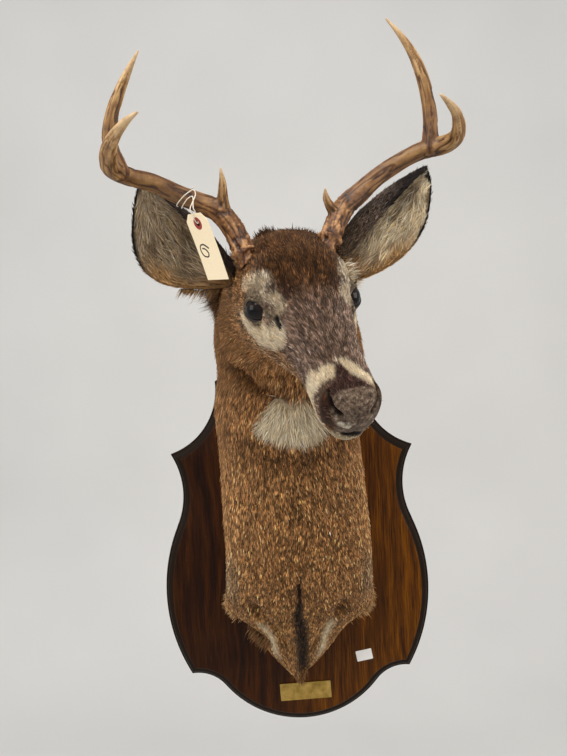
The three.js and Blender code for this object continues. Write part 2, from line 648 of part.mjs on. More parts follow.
const reach = (RINGS.head + RINGS_PAST_EARS) / RINGS.head;
const grownHead = toManifold(hideBetween(0, HEAD_ENDS * reach, RINGS.head + RINGS_PAST_EARS, GAP));
const headSolid = [1, -1].reduce(
  (solid, side) => solid
    .subtract(toManifold(eyeball(side, EYE.radius + GAP)))
    .subtract(toManifold(lidOpening(side))),
  toManifold(hideBetween(0, HEAD_ENDS, RINGS.head)),
);
addPart('head', toGeometry(headSolid), coat);
addPart('neck', hideBetween(HEAD_ENDS + GAP, NECK_ENDS, RINGS.neck), coat);
addPart('shoulder', hideBetween(NECK_ENDS + GAP, LAST_STATION, RINGS.shoulder), coat);
addPart('eye_left', eyeball(1, EYE.radius), glass);
addPart('eye_right', eyeball(-1, EYE.radius), glass);
Object.entries(EARS).forEach(([name, shape]) => {
  addPart(name, toGeometry(largest(toManifold(ear(shape)).subtract(grownHead))), coat);
});
Object.entries(ANTLERS).forEach(([name, points]) => addAntler(name, points, grownHead));
addPart('tag_card', tagCard(), manila);
addPart('tag_eyelet', tagEyelet(), redFibre);
addPart('tag_string', tagString(), cotton);

export default mount;
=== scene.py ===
"""Shoulder mount of a white-tailed buck on its shield-shaped walnut board: surfaces and finishes.

Places are worked out in millimetres, in the frame of the CAD model, and turned to metres when a
mesh is made. The deer's left is the viewer's right."""
import math

import bpy
import numpy as np
from mathutils import Matrix, Vector


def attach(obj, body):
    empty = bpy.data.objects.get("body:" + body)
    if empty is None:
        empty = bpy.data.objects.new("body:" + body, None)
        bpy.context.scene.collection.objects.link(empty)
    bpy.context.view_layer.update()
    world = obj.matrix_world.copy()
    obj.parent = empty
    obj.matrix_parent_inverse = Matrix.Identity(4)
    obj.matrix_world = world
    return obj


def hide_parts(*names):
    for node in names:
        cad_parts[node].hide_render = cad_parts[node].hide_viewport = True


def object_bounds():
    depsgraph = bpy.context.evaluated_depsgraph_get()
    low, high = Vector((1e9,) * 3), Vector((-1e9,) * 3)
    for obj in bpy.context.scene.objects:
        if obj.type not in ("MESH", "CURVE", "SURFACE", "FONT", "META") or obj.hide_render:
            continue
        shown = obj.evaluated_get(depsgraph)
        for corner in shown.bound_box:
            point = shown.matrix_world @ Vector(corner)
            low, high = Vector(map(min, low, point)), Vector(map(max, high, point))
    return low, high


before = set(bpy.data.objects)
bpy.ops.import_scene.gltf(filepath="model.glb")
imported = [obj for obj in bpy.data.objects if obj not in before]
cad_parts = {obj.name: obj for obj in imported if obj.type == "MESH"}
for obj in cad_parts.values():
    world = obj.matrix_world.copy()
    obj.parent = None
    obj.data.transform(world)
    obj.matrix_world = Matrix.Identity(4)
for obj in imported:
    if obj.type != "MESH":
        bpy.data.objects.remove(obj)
CAD_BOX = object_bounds()

MM = 0.001
BODY = "root"

# ---- Camera ----

VIEW_HIGH = 756                      # height of the rendered frame in pixels
FOCAL_PIXELS = 800.0
SENSOR = 36.0                        # side of the camera's sensor in mm
CAMERA_AT = np.array([6.5, -1200.7, 328.7])
CAMERA_YAW, CAMERA_PITCH, CAMERA_ROLL = 0.50, -2.89, 0.32
WALL_ROLL = 2.3                      # lean of the whole view against the board's upright, in degrees


def add_camera():
    """A camera that looks along +Y, turned by yaw about Z, pitch about X and roll about Y, and then
    by the wall's roll about Y."""
    data = bpy.data.cameras.new("camera")
    data.sensor_width = SENSOR
    data.lens = FOCAL_PIXELS / VIEW_HIGH * SENSOR
    data.clip_start, data.clip_end = 0.05, 50.0
    camera = bpy.data.objects.new("camera", data)
    bpy.context.scene.collection.objects.link(camera)
    look = Matrix.Rotation(math.radians(CAMERA_YAW), 3, "Z") \
        @ Matrix.Rotation(math.radians(CAMERA_PITCH), 3, "X") \
        @ Matrix.Rotation(math.radians(CAMERA_ROLL), 3, "Y")
    wall = Matrix.Rotation(math.radians(WALL_ROLL), 3, "Y")
    upright = Matrix.Rotation(math.pi / 2, 3, "X")       # a camera looks down its own -Z
    turn = (wall @ look @ upright).to_4x4()
    camera.matrix_world = Matrix.Translation(CAMERA_AT * MM) @ turn
    bpy.context.scene.camera = camera


add_camera()

# ---- Arrays and meshes ----


NOISE_TABLE = 8192                   # random numbers that the noise picks from
HASH_PRIMES = (73856093, 19349663, 83492791)


def unit(vectors):
    """Each row divided by its length."""
    return vectors / np.maximum(np.linalg.norm(vectors, axis=-1, keepdims=True), 1e-9)


def ramp(value, low, high):
    """0 below low and 1 above high, or the other way round, with a smooth cubic between."""
    t = np.clip((value - low) / (high - low), 0.0, 1.0)
    return t * t * (3 - 2 * t)


def mix(a, b, share):
    """a where share is 0, b where it is 1."""
    return a + (b - a) * share


def bell(value, width):
    """Bell curve, exp(-(value / width)^2): 1 at nought and 0.37 at the width."""
    return np.exp(-(value / width) ** 2)


def smooth_noise(points, size, seed):
    """Value noise from -1 to 1: random numbers on a cubic lattice of the given size in mm, joined
    by smooth cubic weights."""
    place = np.asarray(points) / size
    cell = np.floor(place).astype(np.int64)
    part = place - cell
    part = part * part * (3 - 2 * part)
    table = np.random.default_rng(seed).uniform(-1, 1, NOISE_TABLE)
    total = np.zeros(place.shape[:-1])
    p, q, r = HASH_PRIMES
    for corner in range(8):
        step = np.array([corner & 1, corner >> 1 & 1, corner >> 2])
        x, y, z = np.moveaxis(cell + step, -1, 0)
        pick = (x * p ^ y * q ^ z * r) % NOISE_TABLE
        total += table[pick] * np.prod(np.where(step, part, 1 - part), axis=-1)
    return total


def layered_noise(points, size, seed, layers=3):
    """Noise and its halves: each layer has half the size and half the strength of the last."""
    total = sum(smooth_noise(points, size / 2 ** k, seed + k) / 2 ** k for k in range(layers))
    return total / (2 - 2 / 2 ** layers)


def distance_to_route(points, route):
    """Distance of each point from a route of straight pieces, and how far along it the nearest
    place is, from 0 to 1."""
    route = np.asarray(route, float)
    spans = np.linalg.norm(np.diff(route, axis=0), axis=1)
    start = np.concatenate([[0.0], np.cumsum(spans)])
    best = np.full(points.shape[:-1], np.inf)
    where = np.zeros(points.shape[:-1])
    for i, span in enumerate(spans):
        way = (route[i + 1] - route[i]) / span
        t = np.clip((points - route[i]) @ way, 0.0, span)
        apart = np.linalg.norm(points - route[i] - t[..., None] * way, axis=-1)
        where = np.where(apart < best, (start[i] + t) / start[-1], where)
        best = np.minimum(best, apart)
    return best, where


def smooth_route(points, count):
    """Centripetal Catmull-Rom curve through the points, as evenly spaced places along it.
    The knots stand apart by the square root of the distance, and the ends are mirrored."""
    p = np.asarray(points, float)
    p = np.concatenate([[2 * p[0] - p[1]], p, [2 * p[-1] - p[-2]]])
    knots = np.concatenate([[0.0], np.cumsum(np.linalg.norm(np.diff(p, axis=0), axis=1) ** 0.5)])
    steps = 24
    rows = []
    for i in range(1, len(p) - 2):
        t0, t1, t2, t3 = knots[i - 1:i + 3]
        t = np.linspace(t1, t2, steps, endpoint=False)[:, None]
        a = [p[i - 1 + k] * (knots[i + k] - t) / (knots[i + k] - knots[i - 1 + k])
             + p[i + k] * (t - knots[i - 1 + k]) / (knots[i + k] - knots[i - 1 + k]) for k in range(3)]
        b = [a[0] * (t2 - t) / (t2 - t0) + a[1] * (t - t0) / (t2 - t0),
             a[1] * (t3 - t) / (t3 - t1) + a[2] * (t - t1) / (t3 - t1)]
        rows.append(b[0] * (t2 - t) / (t2 - t1) + b[1] * (t - t1) / (t2 - t1))
    fine = np.concatenate(rows + [p[-2:-1]])
    along = np.concatenate([[0.0], np.cumsum(np.linalg.norm(np.diff(fine, axis=0), axis=1))])
    even = np.linspace(0.0, along[-1], count)
    return np.stack([np.interp(even, along, fine[:, k]) for k in range(3)], axis=-1)


def frames_along(path, first_side):
    """Tangent, side and third direction at each place on a path, with the side carried along it
    so that it twists as little as it can."""
    tangent = unit(np.gradient(path, axis=0))
    side = np.empty_like(path)
    carried = np.asarray(first_side, float)
    for k, t in enumerate(tangent):
        carried = carried - (carried @ t) * t
        carried = carried / np.linalg.norm(carried)
        side[k] = carried
    return tangent, side, np.cross(tangent, side)


def grid_faces(rows, columns, closed=True):
    """Quads of a grid of points stored row by row; closed joins the last column to the first."""
    j = np.arange(rows - 1)[:, None] * columns
    i = np.arange(columns if closed else columns - 1)[None, :]
    k = (i + 1) % columns
    corners = np.broadcast_arrays(j + i, j + k, j + columns + k, j + columns + i)
    return np.stack(corners, axis=-1).reshape(-1, 4)


def closed_grid(points):
    """Points and faces of a tube: rings of a grid, with a fan of triangles round the middle of the
    first ring and of the last."""
    rows, columns = points.shape[:2]
    flat = np.concatenate([points.reshape(-1, 3), [points[0].mean(0)], [points[-1].mean(0)]])
    i = np.arange(columns)
    k = (i + 1) % columns
    last = (rows - 1) * columns
    first_cap = np.stack([np.full(columns, rows * columns), k, i], axis=-1)
    last_cap = np.stack([np.full(columns, rows * columns + 1), last + i, last + k], axis=-1)
    return flat, [grid_faces(rows, columns), np.concatenate([first_cap, last_cap])]


def swept(path, outline, first_side, scale=None):
    """Tube of a flat outline carried along a path: each ring is centre + x side + y third, times
    the scale at that place."""
    _, side, third = frames_along(path, first_side)
    scale = np.ones(len(path)) if scale is None else np.asarray(scale)
    x, y = outline[..., 0], outline[..., 1]
    rings = path[:, None] + scale[:, None, None] * (
        np.atleast_2d(x)[..., None] * side[:, None] + np.atleast_2d(y)[..., None] * third[:, None])
    return closed_grid(rings)


def circle(radius, count):
    """Points of a circle in a plane."""
    angle = np.arange(count) * 2 * np.pi / count
    return radius * np.stack([np.cos(angle), np.sin(angle)], axis=-1)


def volume(points, faces):
    """Signed volume inside a closed surface, by the sum of its tetrahedra about the origin."""
    total = 0.0
    for group in faces:
        for k in range(1, group.shape[1] - 1):
            a, b, c = points[group[:, 0]], points[group[:, k]], points[group[:, k + 1]]
            total += np.einsum("ij,ij->", a, np.cross(b, c)) / 6
    return total


def add_piece(name, points, faces, finish, slot, replaced=(), point_values=(), uv=None, smooth=True):
    """Makes a mesh piece from arrays in mm, its faces turned outwards, riding on the mount.
    point_values is a list of (attribute name, one number or colour for each point); uv is one
    place for each corner of each face, in the order of the faces."""
    points = np.asarray(points, float)
    centred = points - points.mean(0)
    turned = volume(centred, faces) < 0
    if turned:
        faces = [group[:, ::-1] for group in faces]
    corners = np.concatenate([group.ravel() for group in faces]).astype(np.int32)
    sizes = np.concatenate([np.full(len(group), group.shape[1]) for group in faces])
    starts = np.concatenate([[0], np.cumsum(sizes)[:-1]]).astype(np.int32)
    mesh = bpy.data.meshes.new(name)
    mesh.vertices.add(len(points))
    mesh.vertices.foreach_set("co", (points * MM).astype(np.float32).ravel())
    mesh.loops.add(len(corners))
    mesh.loops.foreach_set("vertex_index", corners)
    mesh.polygons.add(len(starts))
    mesh.polygons.foreach_set("loop_start", starts)
    mesh.polygons.foreach_set("use_smooth", np.full(len(starts), smooth))
    mesh.update(calc_edges=True)
    for label, values in point_values:
        values = np.asarray(values, np.float32)
        if values.ndim == 1:
            attribute = mesh.attributes.new(label, "FLOAT", "POINT")
            attribute.data.foreach_set("value", values)
        else:
            attribute = mesh.attributes.new(label, "FLOAT_COLOR", "POINT")
            solid = np.ones((len(values), 4), np.float32)
            solid[:, :3] = values
            attribute.data.foreach_set("color", solid.ravel())
    if uv is not None:
        if turned:
            uv = [group[:, ::-1] for group in uv]
        layer = mesh.uv_layers.new(name="OFBake")
        layer.data.foreach_set("uv", np.concatenate([g.reshape(-1, 2) for g in uv])
                               .astype(np.float32).ravel())
    mesh.materials.append(finish)
    piece = bpy.data.objects.new(name, mesh)
    bpy.context.scene.collection.objects.link(piece)
    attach(piece, BODY)
    if replaced:
        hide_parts(*replaced)
    return piece


# ---- Finishes ----


def colour(code):
    """Linear red, green and blue of an sRGB hex code."""
    channels = np.array([int(code[k:k + 2], 16) for k in (0, 2, 4)]) / 255
    return np.where(channels <= 0.04045, channels / 12.92, ((channels + 0.055) / 1.055) ** 2.4)


def rgba(code):
    """The same with an alpha of 1."""
    return (*colour(code), 1.0)


def per_metre(size):
    """Scale of a pattern whose cells are size mm wide: how many of them make a metre."""
    return 1000.0 / size


# Mix nodes on colours. Their inputs are 0 for the share and 6 and 7 for the colours, and output 2
# is the result.
MULTIPLY = {"data_type": "RGBA", "blend_type": "MULTIPLY"}
BLEND = {"data_type": "RGBA"}


def new_finish(name):
    """A material with only its output and a Principled shader, which are returned with it."""
    material = bpy.data.materials.new(name)
    material.use_nodes = True
    tree = material.node_tree
    tree.nodes.clear()
    output = tree.nodes.new("ShaderNodeOutputMaterial")
    shader = tree.nodes.new("ShaderNodeBsdfPrincipled")
    tree.links.new(shader.outputs["BSDF"], output.inputs["Surface"])
    return material, tree, shader


def add_node(tree, kind, settings=None, inputs=None):
    """A node of that kind, with its settings, and its inputs set to values or linked to sockets.
    The stops of a colour ramp are (place, hex code)."""
    node = tree.nodes.new("ShaderNode" + kind)
    for key, value in (settings or {}).items():
        if key == "stops":
            ramp_stops = node.color_ramp.elements
            while len(ramp_stops) < len(value):
                ramp_stops.new(0.5)
            for stop, (place, code) in zip(ramp_stops, value):
                stop.position = place
                stop.color = rgba(code)
        else:
            setattr(node, key, value)
    for key, value in (inputs or {}).items():
        if isinstance(value, bpy.types.NodeSocket):
            tree.links.new(value, node.inputs[key])
        else:
            node.inputs[key].default_value = value
    return node


def set_shader(tree, shader, **inputs):
    """Sets or links the shader's inputs; an underscore stands for a space."""
    for key, value in inputs.items():
        socket = shader.inputs[key.replace("_", " ")]
        if isinstance(value, bpy.types.NodeSocket):
            tree.links.new(value, socket)
        else:
            socket.default_value = value


def walnut():
    """Walnut, sawn, planed and lacquered. Long swaying pores and darker late wood run up the
    board. Painted shade darkens it towards negative X, and a painted warm reflection of the lacquer
    lightens it towards positive X. The lacquer is thin and worn to a low gloss. The
    figure is 10.5 mm wide; the pores, 1.67 mm apart, are coarser than real ones so that they show."""
    material, tree, shader = new_finish("lacquered walnut")
    place = add_node(tree, "TexCoord").outputs["Object"]
    sway = add_node(tree, "TexNoise", inputs={"Vector": place, "Scale": per_metre(143), "Detail": 1.0})
    swayed = add_node(tree, "VectorMath", {"operation": "MULTIPLY_ADD"}, {
        0: sway.outputs["Color"], 1: (0.035, 0.0, 0.0), 2: place})
    stretched = add_node(tree, "Mapping", inputs={
        "Vector": swayed.outputs["Vector"], "Scale": (1.0, 1.0, 0.06)})
    figure = add_node(tree, "TexNoise", inputs={
        "Vector": stretched.outputs["Vector"], "Scale": per_metre(10.5), "Detail": 6.0, "Roughness": 0.62})
    tones = add_node(tree, "ValToRGB", {"stops": [
        (0.30, "361e03"), (0.46, "5a3303"), (0.60, "7a4a04"), (0.80, "9f6407")]},
        {"Fac": figure.outputs["Fac"]})
    pore_place = add_node(tree, "Mapping", inputs={"Vector": place, "Scale": (1.0, 1.0, 0.03)})
    pores = add_node(tree, "TexNoise", inputs={
        "Vector": pore_place.outputs["Vector"], "Scale": per_metre(1.67), "Detail": 3.0, "Roughness": 0.7})
    lines = add_node(tree, "ValToRGB", {"stops": [(0.36, "4a3626"), (0.52, "ffffff")]},
                     {"Fac": pores.outputs["Fac"]})
    wood = add_node(tree, "Mix", MULTIPLY,
                    {0: 0.75, 6: tones.outputs["Color"], 7: lines.outputs["Color"]})
    # painted light across the board: painted shade towards negative X, a painted warm reflection towards
    # positive X
    across = add_node(tree, "SeparateXYZ", inputs={"Vector": place})
    painted_light_side = add_node(tree, "MapRange", inputs={
        "Value": across.outputs["X"], "From Min": -0.16, "From Max": 0.15})
    depth = add_node(tree, "ValToRGB", {"stops": [
        (0.0, "7c6a52"), (0.35, "86735c"), (0.75, "d8cdb4"), (1.0, "e4dac2")]},
        {"Fac": painted_light_side.outputs["Result"]})
    shaded = add_node(tree, "Mix", MULTIPLY,
                      {0: 1.0, 6: wood.outputs[2], 7: depth.outputs["Color"]})
    rim = add_node(tree, "Attribute", {"attribute_name": "Rim"})
    edged = add_node(tree, "Mix", BLEND,
                     {0: rim.outputs["Fac"], 6: shaded.outputs[2], 7: rgba("1a0f05")})
    bump = add_node(tree, "Bump", inputs={
        "Height": pores.outputs["Fac"], "Strength": 0.18, "Distance": 0.0004})
    rough = add_node(tree, "MapRange", inputs={
        "Value": figure.outputs["Fac"], "To Min": 0.38, "To Max": 0.52})
    set_shader(tree, shader, Base_Color=edged.outputs[2], Roughness=rough.outputs["Result"],
               Normal=bump.outputs["Normal"], Specular_IOR_Level=0.10)
    return material


def deer_skin():
    """Tanned deer hide under its coat, and the bare leather of nose and lids. The hide is matt and
    takes the coat's colours; the leather is pebbled and a little polished. Hair roots 2.38 mm apart
    and pebbles 1.61 mm apart are coarser than real ones so that they show."""
    material, tree, shader = new_finish("tanned deer hide")
    place = add_node(tree, "TexCoord").outputs["Object"]
    coat = add_node(tree, "Attribute", {"attribute_name": "Coat"})
    bare = add_node(tree, "Attribute", {"attribute_name": "Bare"})
    hairs = add_node(tree, "TexNoise", inputs={
        "Vector": place, "Scale": per_metre(2.38), "Detail": 4.0, "Roughness": 0.7})
    ticks = add_node(tree, "ValToRGB", {"stops": [(0.30, "6a6460"), (0.62, "e8e4e0")]},
                     {"Fac": hairs.outputs["Fac"]})
    hide = add_node(tree, "Mix", MULTIPLY,
                    {0: 1.0, 6: coat.outputs["Color"], 7: ticks.outputs["Color"]})
    scuffs = add_node(tree, "TexNoise", inputs={
        "Vector": place, "Scale": per_metre(3.85), "Detail": 5.0, "Roughness": 0.75})
    worn = add_node(tree, "ValToRGB", {"stops": [
        (0.36, "5a5654"), (0.52, "b4b0ac"), (0.64, "ffffff")]},
        {"Fac": scuffs.outputs["Fac"]})
    leather = add_node(tree, "Mix", MULTIPLY,
                       {0: 1.0, 6: coat.outputs["Color"], 7: worn.outputs["Color"]})
    both = add_node(tree, "Mix", BLEND,
                    {0: bare.outputs["Fac"], 6: hide.outputs[2], 7: leather.outputs[2]})
    pebble = add_node(tree, "TexVoronoi", {"feature": "F1"}, {"Vector": place, "Scale": per_metre(1.61)})
    bump = add_node(tree, "Bump", inputs={
        "Height": pebble.outputs["Distance"], "Strength": 0.5, "Distance": 0.0006})
    rough = add_node(tree, "MapRange", inputs={
        "Value": bare.outputs["Fac"], "To Min": 0.95, "To Max": 0.52})
    set_shader(tree, shader, Base_Color=both.outputs[2], Roughness=rough.outputs["Result"],
               Normal=bump.outputs["Normal"], Specular_IOR_Level=0.12)
    return material


def deer_hair():
    """Winter guard hair, hollow and stiff, and so matt."""
    material, tree, shader = new_finish("deer hair")
    coat = add_node(tree, "Attribute", {"attribute_name": "Coat"})
    set_shader(tree, shader, Base_Color=coat.outputs["Color"], Roughness=0.62,
               Specular_IOR_Level=0.18)
    return material


def glass_eye():
    """Blown glass taxidermy eye, painted behind: a wide dark pupil in dark brown, under clear glass
    that mirrors the room."""
    material, tree, shader = new_finish("glass eye")
    shade = add_node(tree, "Attribute", {"attribute_name": "Iris"})
    tones = add_node(tree, "ValToRGB", {"stops": [
        (0.0, "040303"), (0.50, "050404"), (0.68, "120a07"), (0.84, "1a100b"),
        (1.0, "080504")]}, {"Fac": shade.outputs["Fac"]})
    set_shader(tree, shader, Base_Color=tones.outputs["Color"], Roughness=0.07, IOR=1.36,
               Specular_IOR_Level=0.4)
    return material


def lid_skin():
    """Bare skin of the eyelids' edges, smooth, nearly black and a little moist."""
    material, tree, shader = new_finish("eyelid skin")
    place = add_node(tree, "TexCoord").outputs["Object"]
    wrinkles = add_node(tree, "TexNoise", inputs={
        "Vector": place, "Scale": per_metre(1.11), "Detail": 3.0})
    tones = add_node(tree, "ValToRGB", {"stops": [(0.3, "0d0a08"), (0.7, "241b16")]},
                     {"Fac": wrinkles.outputs["Fac"]})
    bump = add_node(tree, "Bump", inputs={
        "Height": wrinkles.outputs["Fac"], "Strength": 0.4, "Distance": 0.0004})
    set_shader(tree, shader, Base_Color=tones.outputs["Color"], Roughness=0.5,
               Normal=bump.outputs["Normal"], Specular_IOR_Level=0.3)
    return material


def antler_bone():
    """Antler, polished by rubbing on trees. Brown sap lies in the grooves and between the beads at
    the base; ridges, elbows and tips are rubbed paler."""
    material, tree, shader = new_finish("rubbed antler")
    place = add_node(tree, "TexCoord").outputs["Object"]
    along = add_node(tree, "Attribute", {"attribute_name": "Along"})
    relief = add_node(tree, "Attribute", {"attribute_name": "Relief"})
    body = add_node(tree, "ValToRGB", {"stops": [
        (0.0, "b58a60"), (0.12, "a98154"), (0.34, "8f6b40"), (0.60, "a07b48"),
        (0.82, "dfbe8c"), (1.0, "f4dfb8")]}, {"Fac": along.outputs["Fac"]})
    grime = add_node(tree, "ValToRGB", {"stops": [
        (0.25, "54402c"), (0.52, "b8a48c"), (0.72, "ffffff")]},
        {"Fac": relief.outputs["Fac"]})
    shaded = add_node(tree, "Mix", MULTIPLY,
                      {0: 1.0, 6: body.outputs["Color"], 7: grime.outputs["Color"]})
    stain = add_node(tree, "TexNoise", inputs={
        "Vector": place, "Scale": per_metre(18.2), "Detail": 5.0, "Roughness": 0.65})
    patches = add_node(tree, "ValToRGB", {"stops": [
        (0.35, "a08a74"), (0.55, "f2ece4"), (0.7, "ffffff")]},
        {"Fac": stain.outputs["Fac"]})
    finished = add_node(tree, "Mix", MULTIPLY,
                        {0: 0.8, 6: shaded.outputs[2], 7: patches.outputs["Color"]})
    grain = add_node(tree, "TexNoise", inputs={
        "Vector": place, "Scale": per_metre(1.43), "Detail": 3.0, "Roughness": 0.6})
    bump = add_node(tree, "Bump", inputs={
        "Height": grain.outputs["Fac"], "Strength": 0.35, "Distance": 0.0005})
    rough = add_node(tree, "MapRange", inputs={
        "Value": stain.outputs["Fac"], "To Min": 0.42, "To Max": 0.62})
    set_shader(tree, shader, Base_Color=finished.outputs[2], Roughness=rough.outputs["Result"],
               Normal=bump.outputs["Normal"], Specular_IOR_Level=0.45)
    return material


def engraved_brass():
    """Sheet brass, brushed along its length and lacquered, dulled by years on a wall. The strokes
    of the brush are 0.33 mm wide and 11 mm long, which is as fine as the render shows."""
    material, tree, shader = new_finish("brushed brass sheet")
    place = add_node(tree, "TexCoord").outputs["Object"]
    stretched = add_node(tree, "Mapping", inputs={"Vector": place, "Scale": (0.03, 1.0, 1.0)})
    brushing = add_node(tree, "TexNoise", inputs={
        "Vector": stretched.outputs["Vector"], "Scale": per_metre(0.333), "Detail": 2.0})
    tarnish = add_node(tree, "TexNoise", inputs={"Vector": place, "Scale": per_metre(11.1), "Detail": 4.0})
    tones = add_node(tree, "ValToRGB", {"stops": [(0.3, "8d7136"), (0.7, "bf9f58")]},
                     {"Fac": tarnish.outputs["Fac"]})
    bump = add_node(tree, "Bump", inputs={
        "Height": brushing.outputs["Fac"], "Strength": 0.25, "Distance": 0.0001})
    set_shader(tree, shader, Base_Color=tones.outputs["Color"], Metallic=1.0, Roughness=0.42,
               Normal=bump.outputs["Normal"])
    return material


def paper(name, pale, dark, fibre):
    """Paper or card, calendered: fibres and small stains of two near tones, some tenths of a
    millimetre to a millimetre wide, and no gloss."""
    material, tree, shader = new_finish(name)
    place = add_node(tree, "TexCoord").outputs["Object"]
    fibres = add_node(tree, "TexNoise", inputs={
        "Vector": place, "Scale": per_metre(fibre), "Detail": 5.0, "Roughness": 0.6})
    tones = add_node(tree, "ValToRGB", {"stops": [(0.3, dark), (0.7, pale)]},
                     {"Fac": fibres.outputs["Fac"]})
    bump = add_node(tree, "Bump", inputs={
        "Height": fibres.outputs["Fac"], "Strength": 0.12, "Distance": 0.0003})
    set_shader(tree, shader, Base_Color=tones.outputs["Color"], Roughness=0.85,
               Normal=bump.outputs["Normal"])
    return material


def cotton():
    """Soft white cotton string, two strands twisted together."""
    material, tree, shader = new_finish("twisted cotton string")
    place = add_node(tree, "TexCoord").outputs["Object"]
    fuzz = add_node(tree, "TexNoise", inputs={
        "Vector": place, "Scale": per_metre(0.556), "Detail": 3.0})
    tones = add_node(tree, "ValToRGB", {"stops": [(0.3, "c9bfae"), (0.7, "f3ecdf")]},
                     {"Fac": fuzz.outputs["Fac"]})
    set_shader(tree, shader, Base_Color=tones.outputs["Color"], Roughness=0.95,
               Sheen_Weight=0.2)
    return material


def marker_ink():
    """Black felt-tip ink on card: flat black with a dull edge."""
    material, tree, shader = new_finish("felt-tip ink")
    place = add_node(tree, "TexCoord").outputs["Object"]
    blot = add_node(tree, "TexNoise", inputs={"Vector": place, "Scale": per_metre(1.11)})
    tones = add_node(tree, "ValToRGB", {"stops": [(0.3, "0c0c0e"), (0.7, "1d1c20")]},
                     {"Fac": blot.outputs["Fac"]})
    set_shader(tree, shader, Base_Color=tones.outputs["Color"], Roughness=0.6)
    return material


def studio_paint():
    """Pale matt paint of a studio floor and its sweep."""
    material, tree, shader = new_finish("matt studio paint")
    place = add_node(tree, "TexCoord").outputs["Object"]
    cloud = add_node(tree, "TexNoise", inputs={"Vector": place, "Scale": per_metre(667)})
    tones = add_node(tree, "ValToRGB", {"stops": [(0.3, "d6d6d4"), (0.7, "dcdcda")]},
                     {"Fac": cloud.outputs["Fac"]})
    set_shader(tree, shader, Base_Color=tones.outputs["Color"], Roughness=0.9)
    return material


# ---- The hide's plain form ----

HEAD_AT = np.array([21.0, -343.0, 361.0])
HEAD_YAW, HEAD_PITCH, HEAD_ROLL = 15.2, 31.0, 6.5
# the fan's hinge behind and below the eyes, the fan's length, and the nose ahead of the eyes
HINGE_BACK, HINGE_DROP, FAN_LENGTH, NOSE = 45.0, 118.0, 210.0, 190.0
BACK_PLANE = -20.3                   # just in front of the board's face, in y
HIDE_BACK = 8.0                      # how far the form goes behind that before it is cut off flat

# distance ahead of the eyes, top, bottom, half width, height of the widest place, and the fullness
# of the upper and the lower half
HEAD_SECTIONS = [
    (190, -3, -15, 6, -8, 2.0, 2.0), (188.5, 3, -21, 12, -8, 2.2, 2.2),
    (185, 9, -28, 18, -7, 2.4, 2.3), (178, 16, -35, 24, -6, 2.4, 2.3),
    (168, 19, -49, 28, -8, 2.3, 2.1), (155, 22, -53, 29, -12, 2.2, 2.1),
    (130, 26, -47, 30, -10, 2.2, 2.1), (100, 31, -48, 33, -6, 2.2, 1.9),
    (70, 36, -56, 39, -6, 2.2, 1.8), (40, 43, -66, 49, -4, 2.3, 1.8),
    (15, 50, -75, 57, 0, 2.6, 1.8), (-10, 56, -84, 61, 4, 2.5, 1.8),
    (-30, 58, -91, 62, 0, 2.3, 1.9),
]
# turn of the fan, and the same from the hinge
FAN_SECTIONS = [
    (0.0, 175, 22, 64, 108, 2.3, 2.0), (0.25, 170, 14, 72, 96, 2.2, 2.1),
    (0.5, 168, 10, 86, 90, 2.1, 2.2), (0.75, 188, 9, 95, 94, 2.2, 2.2),
    (1.0, 240, 9, 97, 112, 2.4, 2.1),
]
# height, breast, half width, widest place, middle, and fullness of the back and the breast
NECK_SECTIONS = [
    (235, -238, 96, -125, 0, 2.6, 2.1), (190, -241, 95, -120, -1, 2.6, 2.1),
    (110, -234, 98, -118, 2, 2.8, 2.1), (40, -220, 100, -110, 5, 3.0, 2.1),
    (-10, -197, 102, -100, 4, 3.0, 2.1), (-42, -172, 104, -84, 3, 3.2, 2.0),
    (-60, -157, 97, -76, 3, 3.2, 1.9), (-95, -128, 64, -66, 1, 3.0, 1.7),
    (-128, -98, 40, -56, -3, 2.6, 1.7), (-155, -74, 19, -46, -3, 2.2, 1.8),
    (-174, -56, 5, -40, -2, 2.0, 2.0),
]


def turned_about(axis, degrees):
    """Quaternion (w, x, y, z) of a turn about one of the axes 0, 1 or 2."""
    half = math.radians(degrees) / 2
    turn = np.zeros(4)
    turn[0] = math.cos(half)
    turn[axis + 1] = math.sin(half)
    return turn


def both_turns(a, b):
    """Quaternion of turn b followed by turn a, by Hamilton's product."""
    w = a[0] * b[0] - a[1:] @ b[1:]
    return np.concatenate([[w], a[0] * b[1:] + b[0] * a[1:] + np.cross(a[1:], b[1:])])


def turn_matrices(q):
    """The rotation matrices, one for each row, of unit quaternions."""
    w, x, y, z = q.T
    return np.stack([
        1 - 2 * (y * y + z * z), 2 * (x * y - w * z), 2 * (x * z + w * y),
        2 * (x * y + w * z), 1 - 2 * (x * x + z * z), 2 * (y * z - w * x),
        2 * (x * z - w * y), 2 * (y * z + w * x), 1 - 2 * (x * x + y * y),
    ], axis=-1).reshape(-1, 3, 3)


HEAD_TURN = both_turns(turned_about(2, HEAD_YAW),
                       both_turns(turned_about(0, HEAD_PITCH), turned_about(1, -HEAD_ROLL)))
LEVEL_TURN = turned_about(0, -90.0)
HEAD_AXES = turn_matrices(HEAD_TURN[None])[0]      # columns: the deer's left, back, and up


def in_head(left, ahead, up):
    """Places given in the head's own frame: left of the middle, ahead of and above the eyes."""
    local = np.stack(np.broadcast_arrays(left, -np.asarray(ahead, float), up), axis=-1)
    return local @ HEAD_AXES.T + HEAD_AT


def from_head(points):
    """(left, ahead, up) of places, the inverse of in_head."""
    local = (points - HEAD_AT) @ HEAD_AXES
    return local[..., 0], -local[..., 1], local[..., 2]


HINGE = in_head(0.0, -HINGE_BACK, -HINGE_DROP)
FAN_START = NOSE + HINGE_BACK
FAN_END = FAN_START + FAN_LENGTH


